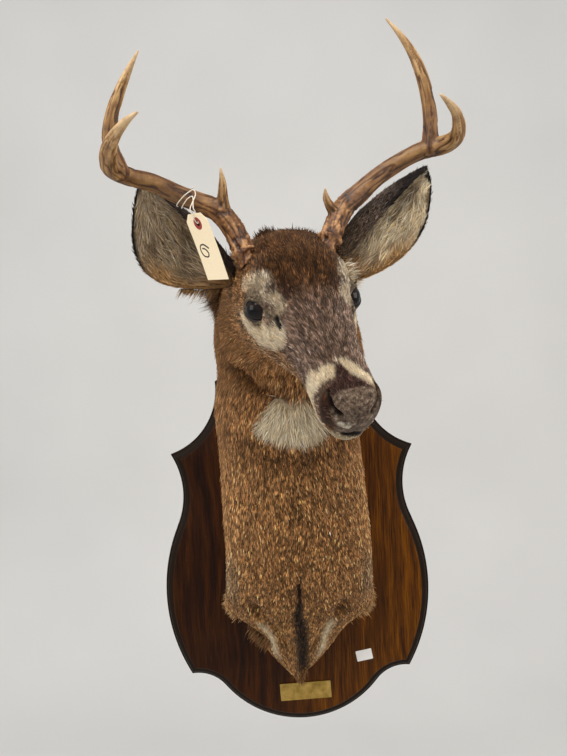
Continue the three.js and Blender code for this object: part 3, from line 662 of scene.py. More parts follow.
def section_table():
    """Rows of (station, top, bottom, half, wide, side, upper, lower), measured from the hinge."""
    d = HINGE_DROP
    rows = [(NOSE - at, top + d, low + d, half, wide + d, 0.0, up, lo)
            for at, top, low, half, wide, up, lo in HEAD_SECTIONS]
    rows += [(FAN_START + turn * FAN_LENGTH, top, low, half, wide, 0.0, up, lo)
             for turn, top, low, half, wide, up, lo in FAN_SECTIONS]
    rows += [(FAN_END + HINGE[2] - z, BACK_PLANE + HIDE_BACK - HINGE[1], front - HINGE[1], half,
              wide - HINGE[1], side - HINGE[0], up, lo)
             for z, front, half, wide, side, up, lo in NECK_SECTIONS]
    return np.array(rows)


SECTIONS = section_table()
LAST_STATION = SECTIONS[-1, 0]


def section_values(stations):
    """The table's columns at any station: a cubic with, at each row, the slope of its neighbours."""
    at = SECTIONS[:, 0]
    before = np.maximum(np.arange(len(at)) - 1, 0)
    after = np.minimum(np.arange(len(at)) + 1, len(at) - 1)
    slope = (SECTIONS[after] - SECTIONS[before]) / (at[after] - at[before])[:, None]
    i = np.clip(np.searchsorted(at, stations, side="right") - 1, 0, len(at) - 2)
    span = (at[i + 1] - at[i])[:, None]
    t = np.clip((stations - at[i])[:, None] / span, 0.0, 1.0)
    rise = 3 * t * t - 2 * t ** 3
    return (SECTIONS[i] * (1 - rise) + SECTIONS[i + 1] * rise
            + span * (slope[i] * (t - 2 * t * t + t ** 3) + slope[i + 1] * (t ** 3 - t * t)))


def hide_points(stations, angles):
    """Outer form of the coat: at each station, two half superellipses that meet at the widest
    place, in a plane that slides along the muzzle, fans round the hinge by turning evenly from the
    head's tilt to the level, then goes down. Angle 0 is the nape and pi the throat and breast."""
    values = section_values(stations)
    _, top, bottom, half, wide, side, upper, lower = (column[:, None] for column in values.T)
    c, s = np.cos(angles)[None, :], np.sin(angles)[None, :]
    power = 2 / np.where(c > 0, upper, lower)
    x = side + half * np.sign(s) * np.abs(s) ** power
    z = wide + np.where(c > 0, top - wide, wide - bottom) * np.sign(c) * np.abs(c) ** power
    turn = np.clip((stations - FAN_START) / FAN_LENGTH, 0.0, 1.0)[:, None]
    bent = math.acos(min(1.0, abs(HEAD_TURN @ LEVEL_TURN)))
    goal = LEVEL_TURN * (1 if HEAD_TURN @ LEVEL_TURN > 0 else -1)
    q = (HEAD_TURN * np.sin((1 - turn) * bent) + goal * np.sin(turn * bent)) / math.sin(bent)
    axes = turn_matrices(q)
    origin = np.repeat(HINGE[None], len(stations), axis=0)
    origin += np.maximum(FAN_START - stations, 0.0)[:, None] * (in_head(0, 1, 0) - HEAD_AT)
    origin[:, 2] -= np.maximum(stations - FAN_END, 0.0)
    local = np.stack([x, np.zeros_like(x), z], axis=-1)
    points = np.einsum("nij,nmj->nmi", axes, local) + origin[:, None, :]
    points[..., 1] = np.minimum(points[..., 1], BACK_PLANE)
    return points


# ---- Markings ----

# Routes and places on the head, as (out from the middle, ahead of the eyes, above the eyes)
EYE_AT = np.array([46.0, 3.0, 6.5])
EYE_RADIUS = 17.0
EYE_LOOK = np.array([0.79, 0.60, 0.13])
# half length and half heights of the opening above and below, as angles, its tilt and its shift
LID_LONG, LID_HIGH, LID_LOW, LID_TILT, LID_SHIFT = 1.15, 0.78, 0.47, -0.12, 0.13
EYE_RING_ABOVE = [(59, -27, 23), (50, -4, 37), (43, 10, 40), (38, 31, 34), (35, 45, 29)]
EYE_RING_BELOW = [(57, -18, -20), (53, 18, -20), (48, 40, -13), (43, 52, -3), (40, 62, 5)]
BROW_SPOT = [(39, 20, 41), (29, 29, 42), (23, 36, 41)]
TEAR_SLIT = [(40.8, 49, 18.5), (39.2, 59, 13.2)]
TEAR_LINE = [(46, 36, 17.5), (40.8, 49, 18.5)]
# on the muzzle, as (to the deer's left, ahead, up)
BAND_RIGHT = [(-13, 155, 19), (-20, 150, 13), (-28, 141, -3), (-28, 136, -18), (-27, 146, -29),
              (-23, 158, -35)]
BAND_LEFT = [(-1, 151, 22), (5, 158, 20.5), (12, 166, 18), (19, 172, 10), (22, 172, -8), (20, 170, -30)]
NOSTRIL = [(22.0, 169, 9.5), (22.7, 176, 4), (21.3, 181, -2), (15.5, 186, -7)]
NOSTRIL_WING = [(24, 169, 6), (27, 169, -8), (24, 174, -21), (18, 181, -18)]
SCUFF = [(-15, 186.5, -16.5), (-9.5, 188, -18.5)]
LIPS = [(-14, 170, -34.5), (-10.1, 172.7, -37.2), (-5.6, 173.8, -39.3), (1, 173.8, -40.8),
        (7.1, 172.4, -41.8), (13, 169, -43.5)]
MOUTH = [(0, 177, -37), (10, 176, -37), (18, 171, -36.5), (24, 155, -37), (28, 125, -38), (31, 92, -33)]
MIDLINE_SHIFT = 6.5                  # the stripes of the muzzle stand this far to the deer's right
# routes in the board's frame
JAW_EDGE = [(-80, -196, 306), (-66, -214, 298), (-50, -217, 285), (-24, -232, 267), (-4, -237, 254),
            (8, -238, 246)]
THROAT_AT = (8.0, 285.0)             # middle (x, z) of the fan of hair below the jaw
SEAM = [(4, 30), (3, -8), (0, -35), (4, -60), (5, -100), (4, -172)]

# "slit" is near-black: partly dark bare skin, partly painted shade in the nostrils, the tear pit, the
# mouth line and along the tear line
SHADES = {name: colour(code) for name, code in {
    "crown": "402711", "bridge": "5f4b3c", "cheek": "735437", "neck": "865f39", "chest": "704e2c",
    "cream": "d6c3a2", "throat": "d3c3a4", "brow": "38261b", "nose_band": "3d2922",
    "nose_pad": "826f5f", "wing": "48290f", "lid": "8e7e68", "slit": "100a08", "flap": "765229",
    "seam": "1f150e", "armpit": "dccaa6", "nape": "5a3c21", "grey": "715a3f", "ear_root": "2a1f18",
    "fringe": "a07c50", "scuff": "e6dcc8", "speck": "ad9e8b",
}.items()}


def head_place(points):
    """(out from the middle, ahead, above) for both halves alike, and the deer's left in mm."""
    left, ahead, up = from_head(points)
    return np.stack([np.abs(left), ahead, up], axis=-1), left


def near(place, route, width):
    """1 on a route, fading smoothly to 0 at twice the width from it."""
    return ramp(distance_to_route(place, route)[0], 2.0 * width, 0.35 * width)


def above_lips(left, up):
    """Height above the line of the lips, which LIPS gives for each place across."""
    across, _, height = np.array(LIPS).T
    return up - np.interp(left, across, height)


def eye_directions():
    """Directions of the eye's look, along the lids and up across them, as (out, ahead, above)."""
    look = unit(EYE_LOOK)
    rise = unit(np.array([0.0, 0.0, 1.0]) - look[2] * look)
    return look, np.cross(look, rise), rise


def laid(tone, shade, share):
    """The tones with a named shade laid over them: not at all where share is 0, wholly where 1."""
    return mix(tone, SHADES[shade], share[..., None])


def lid_measure(place):
    """How far round the eyeball a place lies from the middle of the eye opening: 1 is the edge of
    the lids, an ellipse of angles that is longer than it is high. Also the direction's height."""
    look, along, rise = eye_directions()
    offset = place - EYE_AT
    apart = np.linalg.norm(offset, axis=-1)
    direction = offset / np.maximum(apart, 1e-6)[..., None]
    x, y, z = direction @ along, direction @ rise, direction @ look
    angle = np.arccos(np.clip(z, -1, 1))
    sideways = np.maximum(np.hypot(x, y), 1e-6)
    x, y = angle * x / sideways, angle * y / sideways
    x = x + LID_SHIFT
    y = y + LID_TILT * x
    high = np.where(y > 0, LID_HIGH, LID_LOW)
    return np.hypot(x / LID_LONG, y / high), y, apart


def bare_skin(points):
    """How bare the skin is, from 0 to 1: the nose pad, the nostrils and their wings, the lips with
    a margin clear of hair, the lids, and the tear slit with its line. Also each of them by name."""
    place, left = head_place(points)
    out, ahead, up = np.moveaxis(place, -1, 0)
    wide = np.where(left > 0, 24.0, 23.0)
    pad = ramp((out / wide) ** 2.6 + (np.abs(up + 4.5) / 20.0) ** 2.6, 1.15, 0.85)
    pad = pad * ramp(ahead, 168, 173)
    lip_above = ramp(above_lips(left, up), 0.0, 1.5) * ramp(up, -20, -24)
    pad = np.maximum(pad, lip_above * ramp(ahead, 163, 168) * ramp(out, 21, 15))
    wing = near(place, NOSTRIL_WING, 5.0) * ramp(ahead, 162, 167)
    measure, height, apart = lid_measure(place)
    band = np.where(height > 0, 1.75, 1.62)
    lid = ramp(measure, band + 0.14, band - 0.14) * ramp(apart, 34, 27)
    slit = ramp(distance_to_route(place, TEAR_SLIT)[0], 4.4, 2.6)
    line = near(place, TEAR_LINE, 4.4)
    nostril = near(place, NOSTRIL, 2.2)
    signed = np.stack([left, ahead, up], axis=-1)
    lip = ramp(distance_to_route(signed, LIPS)[0], 3.4, 2.0)
    lip = np.maximum(lip, 0.7 * near(place, MOUTH, 1.5) * ramp(ahead, 172, 166))
    parts = {"pad": pad, "wing": wing, "lid": lid, "slit": slit, "nostril": nostril, "lip": lip,
             "line": line}
    clear = ramp(distance_to_route(signed, LIPS)[0], 6.5, 4.5)
    return np.maximum(clear, np.max(list(parts.values()), axis=0)), parts


def crown_field(place):
    """1 on the dark crown between brows and antlers, 0 elsewhere."""
    _, ahead, up = np.moveaxis(place, -1, 0)
    wander = smooth_noise(place, 15.0, 6)
    low = mix(26.0, -4.0, ramp(ahead, -75, -125))
    above = ramp(up + 5 * wander, low, low + 22)
    return above * ramp(ahead + 9 * wander, 92, 28) * ramp(ahead, -190, -150)


def throat_field(points):
    """1 on the pale fan of hair below the jaw: a sector of rays from THROAT_AT."""
    x, y, z = np.moveaxis(points, -1, 0)
    reach = np.hypot(x - THROAT_AT[0], z - THROAT_AT[1])
    turn = np.arctan2(x - THROAT_AT[0], THROAT_AT[1] - z)
    wander = layered_noise(points, 12.0, 9)
    side = np.where(turn > 0, turn + 0.20, -turn) + 0.05 * wander
    ring = ramp(reach + 3 * wander, 82, 74) * ramp(reach, 26, 40)
    return ring * ramp(side, 0.74, 0.62) * ramp(y, -150, -190)


def head_shades(points):
    """Coat colours of the head, laid over each other from the widest field to the smallest."""
    place, left = head_place(points)
    out, ahead, up = np.moveaxis(place, -1, 0)
    wander = layered_noise(points, 14.0, 5)
    ragged = layered_noise(points, 5.0, 8, 2)
    tone = mix(SHADES["neck"], SHADES["cheek"], ramp(ahead, -80, -10)[..., None])
    line = mix(10.0, -26.0, ramp(ahead, 20, 120)) + 7 * wander
    top = ramp(up - 0.25 * (40 - out), line - 12, line + 12) * ramp(ahead, -35, 25)
    tone = laid(tone, "bridge", top)
    tone = laid(tone, "crown", 0.95 * crown_field(place))
    under = ramp(up, -34, -54) * ramp(ahead, 95, 125) * ramp(ahead, 190, 178)
    tone = laid(tone, "cream", 0.35 * under)
    above = ramp(distance_to_route(place, EYE_RING_ABOVE)[0] + 2.5 * wander + 2 * ragged, 11.0, 3.0)
    below = ramp(distance_to_route(place, EYE_RING_BELOW)[0] + 2.5 * wander + 2 * ragged, 17.0, 8.0)
    tone = laid(tone, "cream", np.maximum(0.46 * above, 0.82 * below))
    tone = laid(tone, "brow", 0.75 * near(place, BROW_SPOT, 5.5))
    signed = np.stack([left, ahead, up], axis=-1)
    right, share = distance_to_route(signed, BAND_RIGHT)
    right = ramp(right + 3.0 * ragged, mix(11.0, 15.0, ramp(share, 0.1, 0.5)), 5.0)
    other = ramp(distance_to_route(signed, BAND_LEFT)[0] + 3.0 * ragged, 10.5, 4.5)
    tone = laid(tone, "cream", 0.92 * np.maximum(right, other))
    across = left + MIDLINE_SHIFT
    middle = ramp(np.abs(across) - 0.30 * (ahead - 150), 5.0, 1.5)
    middle = middle * ramp(ahead, 138, 152) * ramp(up, 0, 10)
    edge = 163.0 + np.where(across > 0, 0.85 * (across - 6).clip(0, 14), -0.30 * across) + 1.5 * ragged
    band = ramp(ahead - edge, -3.0, 2.0) * ramp(up, -28, -22)
    tone = laid(tone, "nose_band", np.clip(np.maximum(middle, band), 0, 1))
    chin = ramp(above_lips(left, up), 0.5, -1.5) * ramp(ahead, 140, 160)
    tone = laid(tone, "cream", 0.9 * chin)
    _, parts = bare_skin(points)
    speck = ramp(layered_noise(points, 3.0, 15), 0.05, 0.8)[..., None]
    pad = mix(SHADES["nose_pad"], SHADES["speck"], speck)
    # paler cream speckles towards the top middle of the pad
    rubbed = ramp(up + 3 * wander, 6, 12) * ramp(np.abs(left + 3), 14, 6)
    pad = mix(pad, SHADES["cream"], (0.45 * rubbed)[..., None] * speck)
    tone = laid(tone, "wing", parts["wing"])
    tone = mix(tone, pad, parts["pad"][..., None])
    scuff = ramp(distance_to_route(signed, SCUFF)[0] + 0.8 * wander, 4.6, 3.4)
    tone = laid(tone, "scuff", scuff)
    tone = laid(tone, "lid", np.maximum(parts["lid"], parts["line"]))
    # painted shadow: a thin dark line along the groove of the tear line
    tone = laid(tone, "slit", 0.75 * near(place, TEAR_LINE, 1.1))
    # near-black in the tear pit, the nostrils and the mouth line: partly dark bare skin, partly painted
    # shade in the openings
    for part in ("slit", "nostril", "lip"):
        tone = laid(tone, "slit", parts[part])
    return tone


def coat_shades(points):
    """Coat colours anywhere on the hide. Behind the head they follow the height and the place
    across the breast."""
    x, y, z = np.moveaxis(points, -1, 0)
    wander = layered_noise(points, 40.0, 21)
    fine = layered_noise(points, 15.0, 22)
    tone = np.broadcast_to(SHADES["neck"], points.shape).copy()
    back = ramp(y + 12 * wander, -110, -60)
    tone = laid(tone, "nape", 0.25 * back)
    middle = bell(x - 6 - 14 * wander, 46) * ramp(y, -150, -215) * ramp(z, 240, 180)
    low = 0.16 * (wander + fine) * ramp(z, 300, 200)
    tone = laid(tone, "chest", (0.60 * middle + low).clip(0, 1))
    grey = ramp(np.abs(x - 4) + 9 * fine, 74, 88) * ramp(z, 70, 20) * ramp(z, -45, 0)
    tone = laid(tone, "grey", 0.75 * grey)
    reach = np.hypot(x - THROAT_AT[0], z - THROAT_AT[1])
    collar = bell(reach - 106 - 8 * fine, 11) * ramp(y, -150, -190) * ramp(z, 235, 215)
    tone = laid(tone, "crown", 0.55 * collar)
    flap = ramp(z + 0.25 * np.abs(x) + 8 * fine, 10, -40)
    tone = laid(tone, "flap", 0.45 * flap)
    # painted shade in the hollows beside the flaps of the breast, in the crown's dark brown
    painted_fold_shade = bell(np.hypot((np.abs(x) - 66) / 1.4, z + 26 + 10 * fine) - 6, 7)
    tone = laid(tone, "crown", 0.55 * painted_fold_shade * ramp(y, -110, -140))
    pit = bell(np.abs(x + 2) - 45 - 0.30 * (z + 75), 5.0) * ramp(z, -46, -60) * ramp(z, -130, -100)
    tone = laid(tone, "armpit", 0.85 * pit)
    flat = np.stack([x + 2.5 * fine, z], axis=-1)
    apart, share = distance_to_route(flat, SEAM)
    seam = ramp(apart, mix(5.0, 15.0, ramp(share, 0.1, 0.5)), mix(1.0, 5.0, ramp(share, 0.1, 0.5)))
    seam = seam * ramp(z, -168, -140) * ramp(y, -20, -50)
    tone = laid(tone, "seam", 0.92 * seam)
    _, ahead, up = from_head(points)
    on_head = ramp(ahead, -75, -40) * ramp(up + 0.4 * ahead, -125, -95)
    tone = mix(tone, head_shades(points), on_head[..., None])
    crown = crown_field(head_place(points)[0]) * ramp(ahead, 0, -40)
    tone = laid(tone, "crown", 0.9 * crown)
    # painted shade along the under edge of the jaw, in the crown's dark brown
    jaw, share = distance_to_route(points, JAW_EDGE)
    tone = laid(tone, "crown", 0.85 * ramp(jaw + 1.5 * fine, 8, 1.5) * ramp(share, 0.0, 0.25))
    return laid(tone, "throat", throat_field(points))


# ---- Skin ----

SKIN_COLUMNS = 240
BARE_DEPTH = 0.25                    # bare skin lies this far inside the plain form
RIM_LIFT = 1.5                       # the lids' edge stands this far off the eyeball
# each swelling or hollow of the face: centre and radii as (out, ahead, above), and height
FACE_FORMS = [
    ((45, 12, 30), (13, 22, 8), 2.6),        # brow
    ((58, -14, -14), (9, 26, 8), 2.2),       # cheek bone
    ((52, -8, -48), (14, 26, 20), 2.5),      # chewing muscle
    ((40, 46, -34), (12, 22, 16), -4.0),     # hollow between cheek and muzzle
    ((33, 92, -4), (9, 30, 12), -2.2),       # side of the muzzle
    ((0, 92, 34), (10, 50, 7), -1.0),        # flat of the nose bone
    ((0, 36, 46), (13, 22, 8), -1.6),        # forehead
    ((27, 150, -25), (9, 18, 11), 1.0),      # upper lip
    ((0, 170, -46), (15, 9, 6), 2.6),        # chin
    ((26.5, 169, -8), (5, 8, 13), 1.6),      # wing of the nostril
    ((0, 187, -4), (17, 9, 13), 0.9),        # nose pad
]


def coat_depth(points):
    """How far the skin lies inside the tips of the coat: little on the muzzle and bare skin, more
    on the neck."""
    ahead = from_head(points)[1]
    depth = mix(4.2, 1.6, ramp(ahead, -110, -10))
    depth = mix(depth, 0.9, ramp(ahead, 80, 160))
    bare, _ = bare_skin(points)
    return mix(depth, BARE_DEPTH, bare)


def sculpted(points, normals):
    """The skin, from the coat's outer form: in by the coat's depth, then swollen and hollowed along
    its normal by bells of the given radii, with grooves along routes, and drawn down round the
    eyeballs to the lids."""
    place, left = head_place(points)
    out, ahead, up = np.moveaxis(place, -1, 0)
    move = -coat_depth(points)
    for centre, radii, height in FACE_FORMS:
        move += height * np.exp(-(((place - centre) / radii) ** 2).sum(-1))
    mouth, share = distance_to_route(place, MOUTH)
    move -= mix(6.5, 1.4, ramp(share, 0.12, 0.3)) * bell(mouth, 2.1) * ramp(share, 1.0, 0.9)
    lips, _ = distance_to_route(np.stack([left, ahead, up], axis=-1), LIPS)
    move -= 3.5 * bell(lips, 2.2)
    cleft = bell(out, 1.3) * ramp(up, -12, -18) * ramp(up, -36, -33) * ramp(ahead, 172, 178)
    move -= 1.6 * cleft
    slit, _ = distance_to_route(place, TEAR_SLIT)
    move -= 5.0 * bell(slit, 2.8)
    line, _ = distance_to_route(place, TEAR_LINE)
    move -= 1.2 * bell(line, 2.0)
    nostril, share = distance_to_route(place, NOSTRIL)
    move -= mix(4.5, 9.0, share) * bell(nostril, mix(2.0, 3.0, share))
    jaw, share = distance_to_route(points, JAW_EDGE)
    move -= 4.0 * bell(jaw, 6.0) * ramp(share, 0.0, 0.3)
    pebbles = smooth_noise(points, 1.6, 61) * bare_skin(points)[1]["pad"]
    move += 0.30 * pebbles
    skin = points + normals * move[..., None]
    # lids: the distance from the eyeball's middle runs from the lid's edge out to the face
    place, left = head_place(skin)
    measure, height, apart = lid_measure(place)
    reach = np.where(height > 0, 2.35, 2.7)
    rim = EYE_RADIUS + RIM_LIFT
    share = ramp(measure, 1.0, reach) ** 0.8
    fold = 1.3 * bell(measure - 1.68, 0.09) * ramp(height, 0.1, 0.35)
    fold += 0.7 * bell(measure - 1.55, 0.10) * ramp(height, 0.0, -0.3)
    goal = mix(rim, apart, share) - fold
    goal = np.where(measure < 1.0, mix(EYE_RADIUS - 4.0, rim, ramp(measure, 0.80, 0.985)), goal)
    goal = mix(apart, goal, ramp(apart, 41, 28))
    near_eye = (measure < reach) & (apart < 60)
    side = np.where(left >= 0, 1.0, -1.0)
    scale = np.where(near_eye, goal / np.maximum(apart, 1e-6), 1.0)
    centre = in_head(side * EYE_AT[0], EYE_AT[1], EYE_AT[2])
    skin = centre + (skin - centre) * scale[..., None]
    # breast: a seam down the middle, the folds beside its flaps, and a swelling and a dimple on each
    # side; then the neck's right side and the waist above the brisket are drawn in
    x, y, z = np.moveaxis(skin, -1, 0)
    seam, share = distance_to_route(np.stack([x, z], axis=-1), SEAM)
    seam = bell(seam, mix(3.5, 8.0, ramp(share, 0.1, 0.5))) * ramp(z, 32, 0) * ramp(z, -176, -150)
    fold = bell(np.abs(x - 2) - 44 - 0.55 * (z + 50), 8) * ramp(z, 0, -34) * ramp(z, -120, -80)
    bulge = np.exp(-(((np.abs(x - 2) - 72) / 20) ** 2 + ((z + 20) / 22) ** 2))
    dimple = np.exp(-(((np.abs(x - 2) - 58) / 9) ** 2 + ((z + 28) / 12) ** 2))
    skin = skin - (normals * (7.0 * seam + 7.0 * fold + 5.0 * dimple - 1.5 * bulge)[..., None]
                   * ramp(y, -30, -60)[..., None])
    skin[..., 0] -= 4.5 * bell(z - 265, 75) * ramp(x, -25, -60)
    waist = 1 - 0.12 * bell(z + 78, 26) * ramp(np.abs(x - 4), 15, 40)
    skin[..., 0] = 4 + (skin[..., 0] - 4) * waist
    skin[..., 1] = np.minimum(skin[..., 1], BACK_PLANE)
    return skin


def grid_normals(points):
    """Outward unit normals of a closed-column grid, from the cross product of its two slopes."""
    down = np.gradient(points, axis=0)
    wrapped = np.concatenate([points[:, -1:], points, points[:, :1]], axis=1)
    across = (wrapped[:, 2:] - wrapped[:, :-2]) / 2
    normals = unit(np.cross(across, down))
    outward = np.einsum("nmi,nmi->", normals, points - points.mean(1, keepdims=True))
    return normals if outward > 0 else -normals


def skin_stations():
    """Places of the rings from nose to brisket, closest on the nose and round the eyes."""
    runs = [(0.4, 45, 0.7), (45, 150, 1.6), (150, 215, 1.0), (215, 315, 2.5), (315, LAST_STATION, 5.0)]
    parts = [np.arange(start, end, step) for start, end, step in runs]
    return np.concatenate(parts + [[LAST_STATION]])


def make_skin():
    """Grid of the sculpted skin over stations and angles, with the normals, the slopes and the
    bend along the body that the tufts need."""
    stations = skin_stations()
    angles = np.arange(SKIN_COLUMNS) * 2 * np.pi / SKIN_COLUMNS
    form = hide_points(stations, angles)
    skin = sculpted(form, grid_normals(form))
    normals = grid_normals(skin)
    down = np.gradient(skin, stations, axis=0)
    length = np.linalg.norm(down, axis=-1)
    bend = -np.einsum("nmi,nmi->nm", np.gradient(normals, stations, axis=0), unit(down))
    bend = -bend / np.maximum(length, 0.05)
    return {"stations": stations, "angles": angles, "form": form, "points": skin,
            "normals": normals, "down": unit(down), "bend": np.clip(bend, -0.02, 0.04)}


SKIN = make_skin()
BARE_FACE = bare_skin(SKIN["form"])[0]
SHADE_GRID = coat_shades(SKIN["form"])


def unwrapped(stations, rows, columns, down, across):
    """Places on the unwrap of the hide, round it in u and along it in v, from rows of rings and
    columns with their parts."""
    along = np.interp(rows + down, np.arange(len(stations)), stations)
    return np.stack([(columns + across) / SKIN_COLUMNS, along / LAST_STATION], axis=-1)


def add_skin(finish):
    """The bare skin from nose to brisket as one mesh, unwrapped as a tube: each quad by its ring
    and column, and the fans at both ends to the unwrap's first and last edge."""
    points, faces = closed_grid(SKIN["points"])
    columns = SKIN_COLUMNS
    j, i = faces[0][:, 0] // columns, faces[0][:, 0] % columns
    v = SKIN["stations"] / LAST_STATION
    u = np.stack([i, i + 1, i + 1, i], axis=-1) / columns
    quad_uv = np.stack([u, np.stack([v[j], v[j], v[j + 1], v[j + 1]], axis=-1)], axis=-1)
    k = np.arange(columns)
    cap_uv = []
    for turned, middle, edge in (((0.5, 1, 0), 0.0, v[0]), ((0.5, 0, 1), 1.0, v[-1])):
        across = (k[:, None] + np.array(turned)) / columns
        cap_uv.append(np.stack([across, np.tile([middle, edge, edge], (columns, 1))], axis=-1))
    shade = np.concatenate([SHADE_GRID.reshape(-1, 3), SHADE_GRID[0, :1], SHADE_GRID[-1, :1]])
    bare = np.concatenate([BARE_FACE.ravel(), [1.0, 0.0]])
    add_piece("hide_skin", points, faces, finish, "coat", ("head", "neck", "shoulder"),
              [("Coat", shade), ("Bare", bare)], [quad_uv, np.concatenate(cap_uv)])


# ---- Board ----

# circles of the shield's right half as (x, z, radius), from the bottom to the top, and whether the
# wood lies inside the circle
SHIELD = [(0, -103, 147, True), (158, -229.2, 55.2, False), (-52.5, -50, 250.5, True),
          (281.8, 103, 116.8, False), (212, 260, 103, False), (0, 123, 182, True)]
SHIELD_CORNERS = [(79, -174), (165, -174), (181, 0), (181, 162), (110, 268)]
SHIELD_STEPS = [26, 16, 40, 22, 22, 24]
# the moulded edge as (in from the outline, out from the wall): the back's border, a flat side with a
# small bead, a step, a hollow and a rounded shoulder up to the face
SHIELD_EDGE = [(12.8, 0), (2.0, 0), (0.5, 0), (0, 0.5), (0, 8.2), (0.3, 8.8), (1.0, 9.1), (2.4, 9.4),
               (3.0, 10.2), (3.2, 11.6), (3.9, 13.2), (5.0, 14.6), (6.6, 15.6), (8.8, 16.2), (10.4, 16.7),
               (11.1, 17.6), (11.5, 18.8), (12.1, 19.6), (13.0, 20.0)]
RIM_WIDE = 11.0                      # the dark rim ends this far in from the outline
CREASE = math.radians(38)            # faces that meet at more than this keep a sharp edge
PLATE_CORNER = 1.2


def crossing(one, two, close):
    """The meeting point of two circles (x, z, r) that is nearest to a given point."""
    way = np.array([two[0] - one[0], two[1] - one[1]])
    apart = np.hypot(*way)
    along = (one[2] ** 2 - two[2] ** 2 + apart ** 2) / (2 * apart)
    off = math.sqrt(max(0.0, one[2] ** 2 - along ** 2))
    way = way / apart
    middle = np.array(one[:2]) + way * along
    both = np.array([middle + sign * off * np.array([-way[1], way[0]]) for sign in (1, -1)])
    return both[np.linalg.norm(both - close, axis=1).argmin()]


def shield_outline(inset):
    """Points of the shield's outline in X and Z, moved in by inset: arcs of the six circles between
    their crossings, and the mirror image of them."""
    circles = [(x, z, r - inset if inside else r + inset) for x, z, r, inside in SHIELD]
    stops = [np.array([0.0, circles[0][1] - circles[0][2]])]
    stops += [crossing(a, b, close) for a, b, close in zip(circles, circles[1:], SHIELD_CORNERS)]
    stops += [np.array([0.0, circles[-1][1] + circles[-1][2]])]
    arcs = []
    for (x, z, r), start, end, steps in zip(circles, stops, stops[1:], SHIELD_STEPS):
        first = math.atan2(start[1] - z, start[0] - x)
        turn = math.atan2(end[1] - z, end[0] - x) - first
        turn = math.atan2(math.sin(turn), math.cos(turn))
        angle = first + turn * np.arange(steps) / steps
        arcs.append(np.stack([x + r * np.cos(angle), z + r * np.sin(angle)], axis=-1))
    right = np.concatenate(arcs)
    left = right[1:][::-1] * [-1, 1]
    return np.concatenate([right, [stops[-1]], left])


def stacked(rings):
    """Points and faces of equal rings laid over each other, with a flat face at both ends."""
    rings = np.array(rings)
    rows, columns = rings.shape[:2]
    k = np.arange(columns)
    faces = [grid_faces(rows, columns), k[None, ::-1], ((rows - 1) * columns + k)[None]]
    return rings.reshape(-1, 3), faces


def add_board(finish):
    """The shield: its outline carried from the back's flat border up the moulded edge, and a flat
    face and back. The rim attribute is 1 on the moulding and 0 on the face and the back."""
    rings = [np.insert(shield_outline(inset), 1, -out, axis=1) for inset, out in SHIELD_EDGE]
    columns = len(rings[0])
    inset = np.repeat([edge[0] for edge in SHIELD_EDGE], columns)
    height = np.repeat([edge[1] for edge in SHIELD_EDGE], columns)
    rim = ramp(inset, RIM_WIDE + 1.2, RIM_WIDE) * ((height > 0) | (inset < 1.0))
    board = add_piece("shield_board", *stacked(rings), finish, "walnut_board", ("plaque_board",),
                      [("Rim", rim)])
    board.data.polygons.foreach_set("use_smooth", [len(p.vertices) == 4 for p in board.data.polygons])
    board.data.set_sharp_from_angle(angle=CREASE)


def add_plate(name, node, finish, slot, wide, high, thick, x, z, tilt, round_edge):
    """A flat plate on the board's face with a rounded edge: rings of a rounded rectangle, drawn in
    as they rise by a quarter circle, turned in the plane of the board."""
    profile = [(0.0, 0.0)] + [(round_edge * (1 - math.cos(t)), thick - round_edge * (1 - math.sin(t)))
                              for t in np.linspace(0, np.pi / 2, 5)]
    quarter = np.linspace(0, np.pi / 2, 6)
    c, s = math.cos(math.radians(tilt)), math.sin(math.radians(tilt))
    rings = []
    for inset, rise in profile:
        half = np.array([wide / 2 - inset - PLATE_CORNER, high / 2 - inset - PLATE_CORNER])
        parts = []
        for turn, sign in enumerate([(1, 1), (-1, 1), (-1, -1), (1, -1)]):
            angle = quarter + turn * np.pi / 2
            parts.append(half * sign + PLATE_CORNER * np.stack([np.cos(angle), np.sin(angle)], axis=-1))
        turned = np.concatenate(parts) @ np.array([[c, s], [-s, c]]) + [x, z]
        rings.append(np.insert(turned, 1, BACK_PLANE - rise, axis=1))
    piece = add_piece(name, *stacked(rings), finish, slot, (node,))
    piece.data.set_sharp_from_angle(angle=CREASE)


# ---- Eyes ----


def eye_axes(side):
    """Middle of an eyeball, and the directions of its look, along the lids and across them."""
    centre = in_head(side * EYE_AT[0], EYE_AT[1], EYE_AT[2])
    axes = [in_head(side * d[0], d[1], d[2]) - HEAD_AT for d in eye_directions()]
    return centre, axes


def add_eye(name, node, side, finish):
    """Eyeball as rings of latitude about the look, with a cornea that bulges by a bell. The iris
    attribute is the distance from the middle of an oval pupil, stretched along the lids."""
    centre, (look, along, rise) = eye_axes(side)
    lat = np.linspace(0.02, np.pi - 0.02, 60)
    lon = np.arange(72) * 2 * np.pi / 72
    radius = EYE_RADIUS - 0.7 + 0.7 * np.exp(-((lat / 0.62) ** 4))
    ball = (np.cos(lat)[:, None, None] * look
            + np.sin(lat)[:, None, None] * (np.cos(lon)[None, :, None] * along
                                            + np.sin(lon)[None, :, None] * rise))
    points, faces = closed_grid(centre + radius[:, None, None] * ball)
    offset = unit(points - centre)
    oval = np.hypot((offset @ along) / 0.95, (offset @ rise) / 0.62)
    iris = np.clip(oval, 0, 1) * ramp(offset @ look, 0.0, 0.2) + ramp(offset @ look, 0.2, 0.0)
    add_piece(name, points, faces, finish, "eye_glass", (node,), [("Iris", iris)])


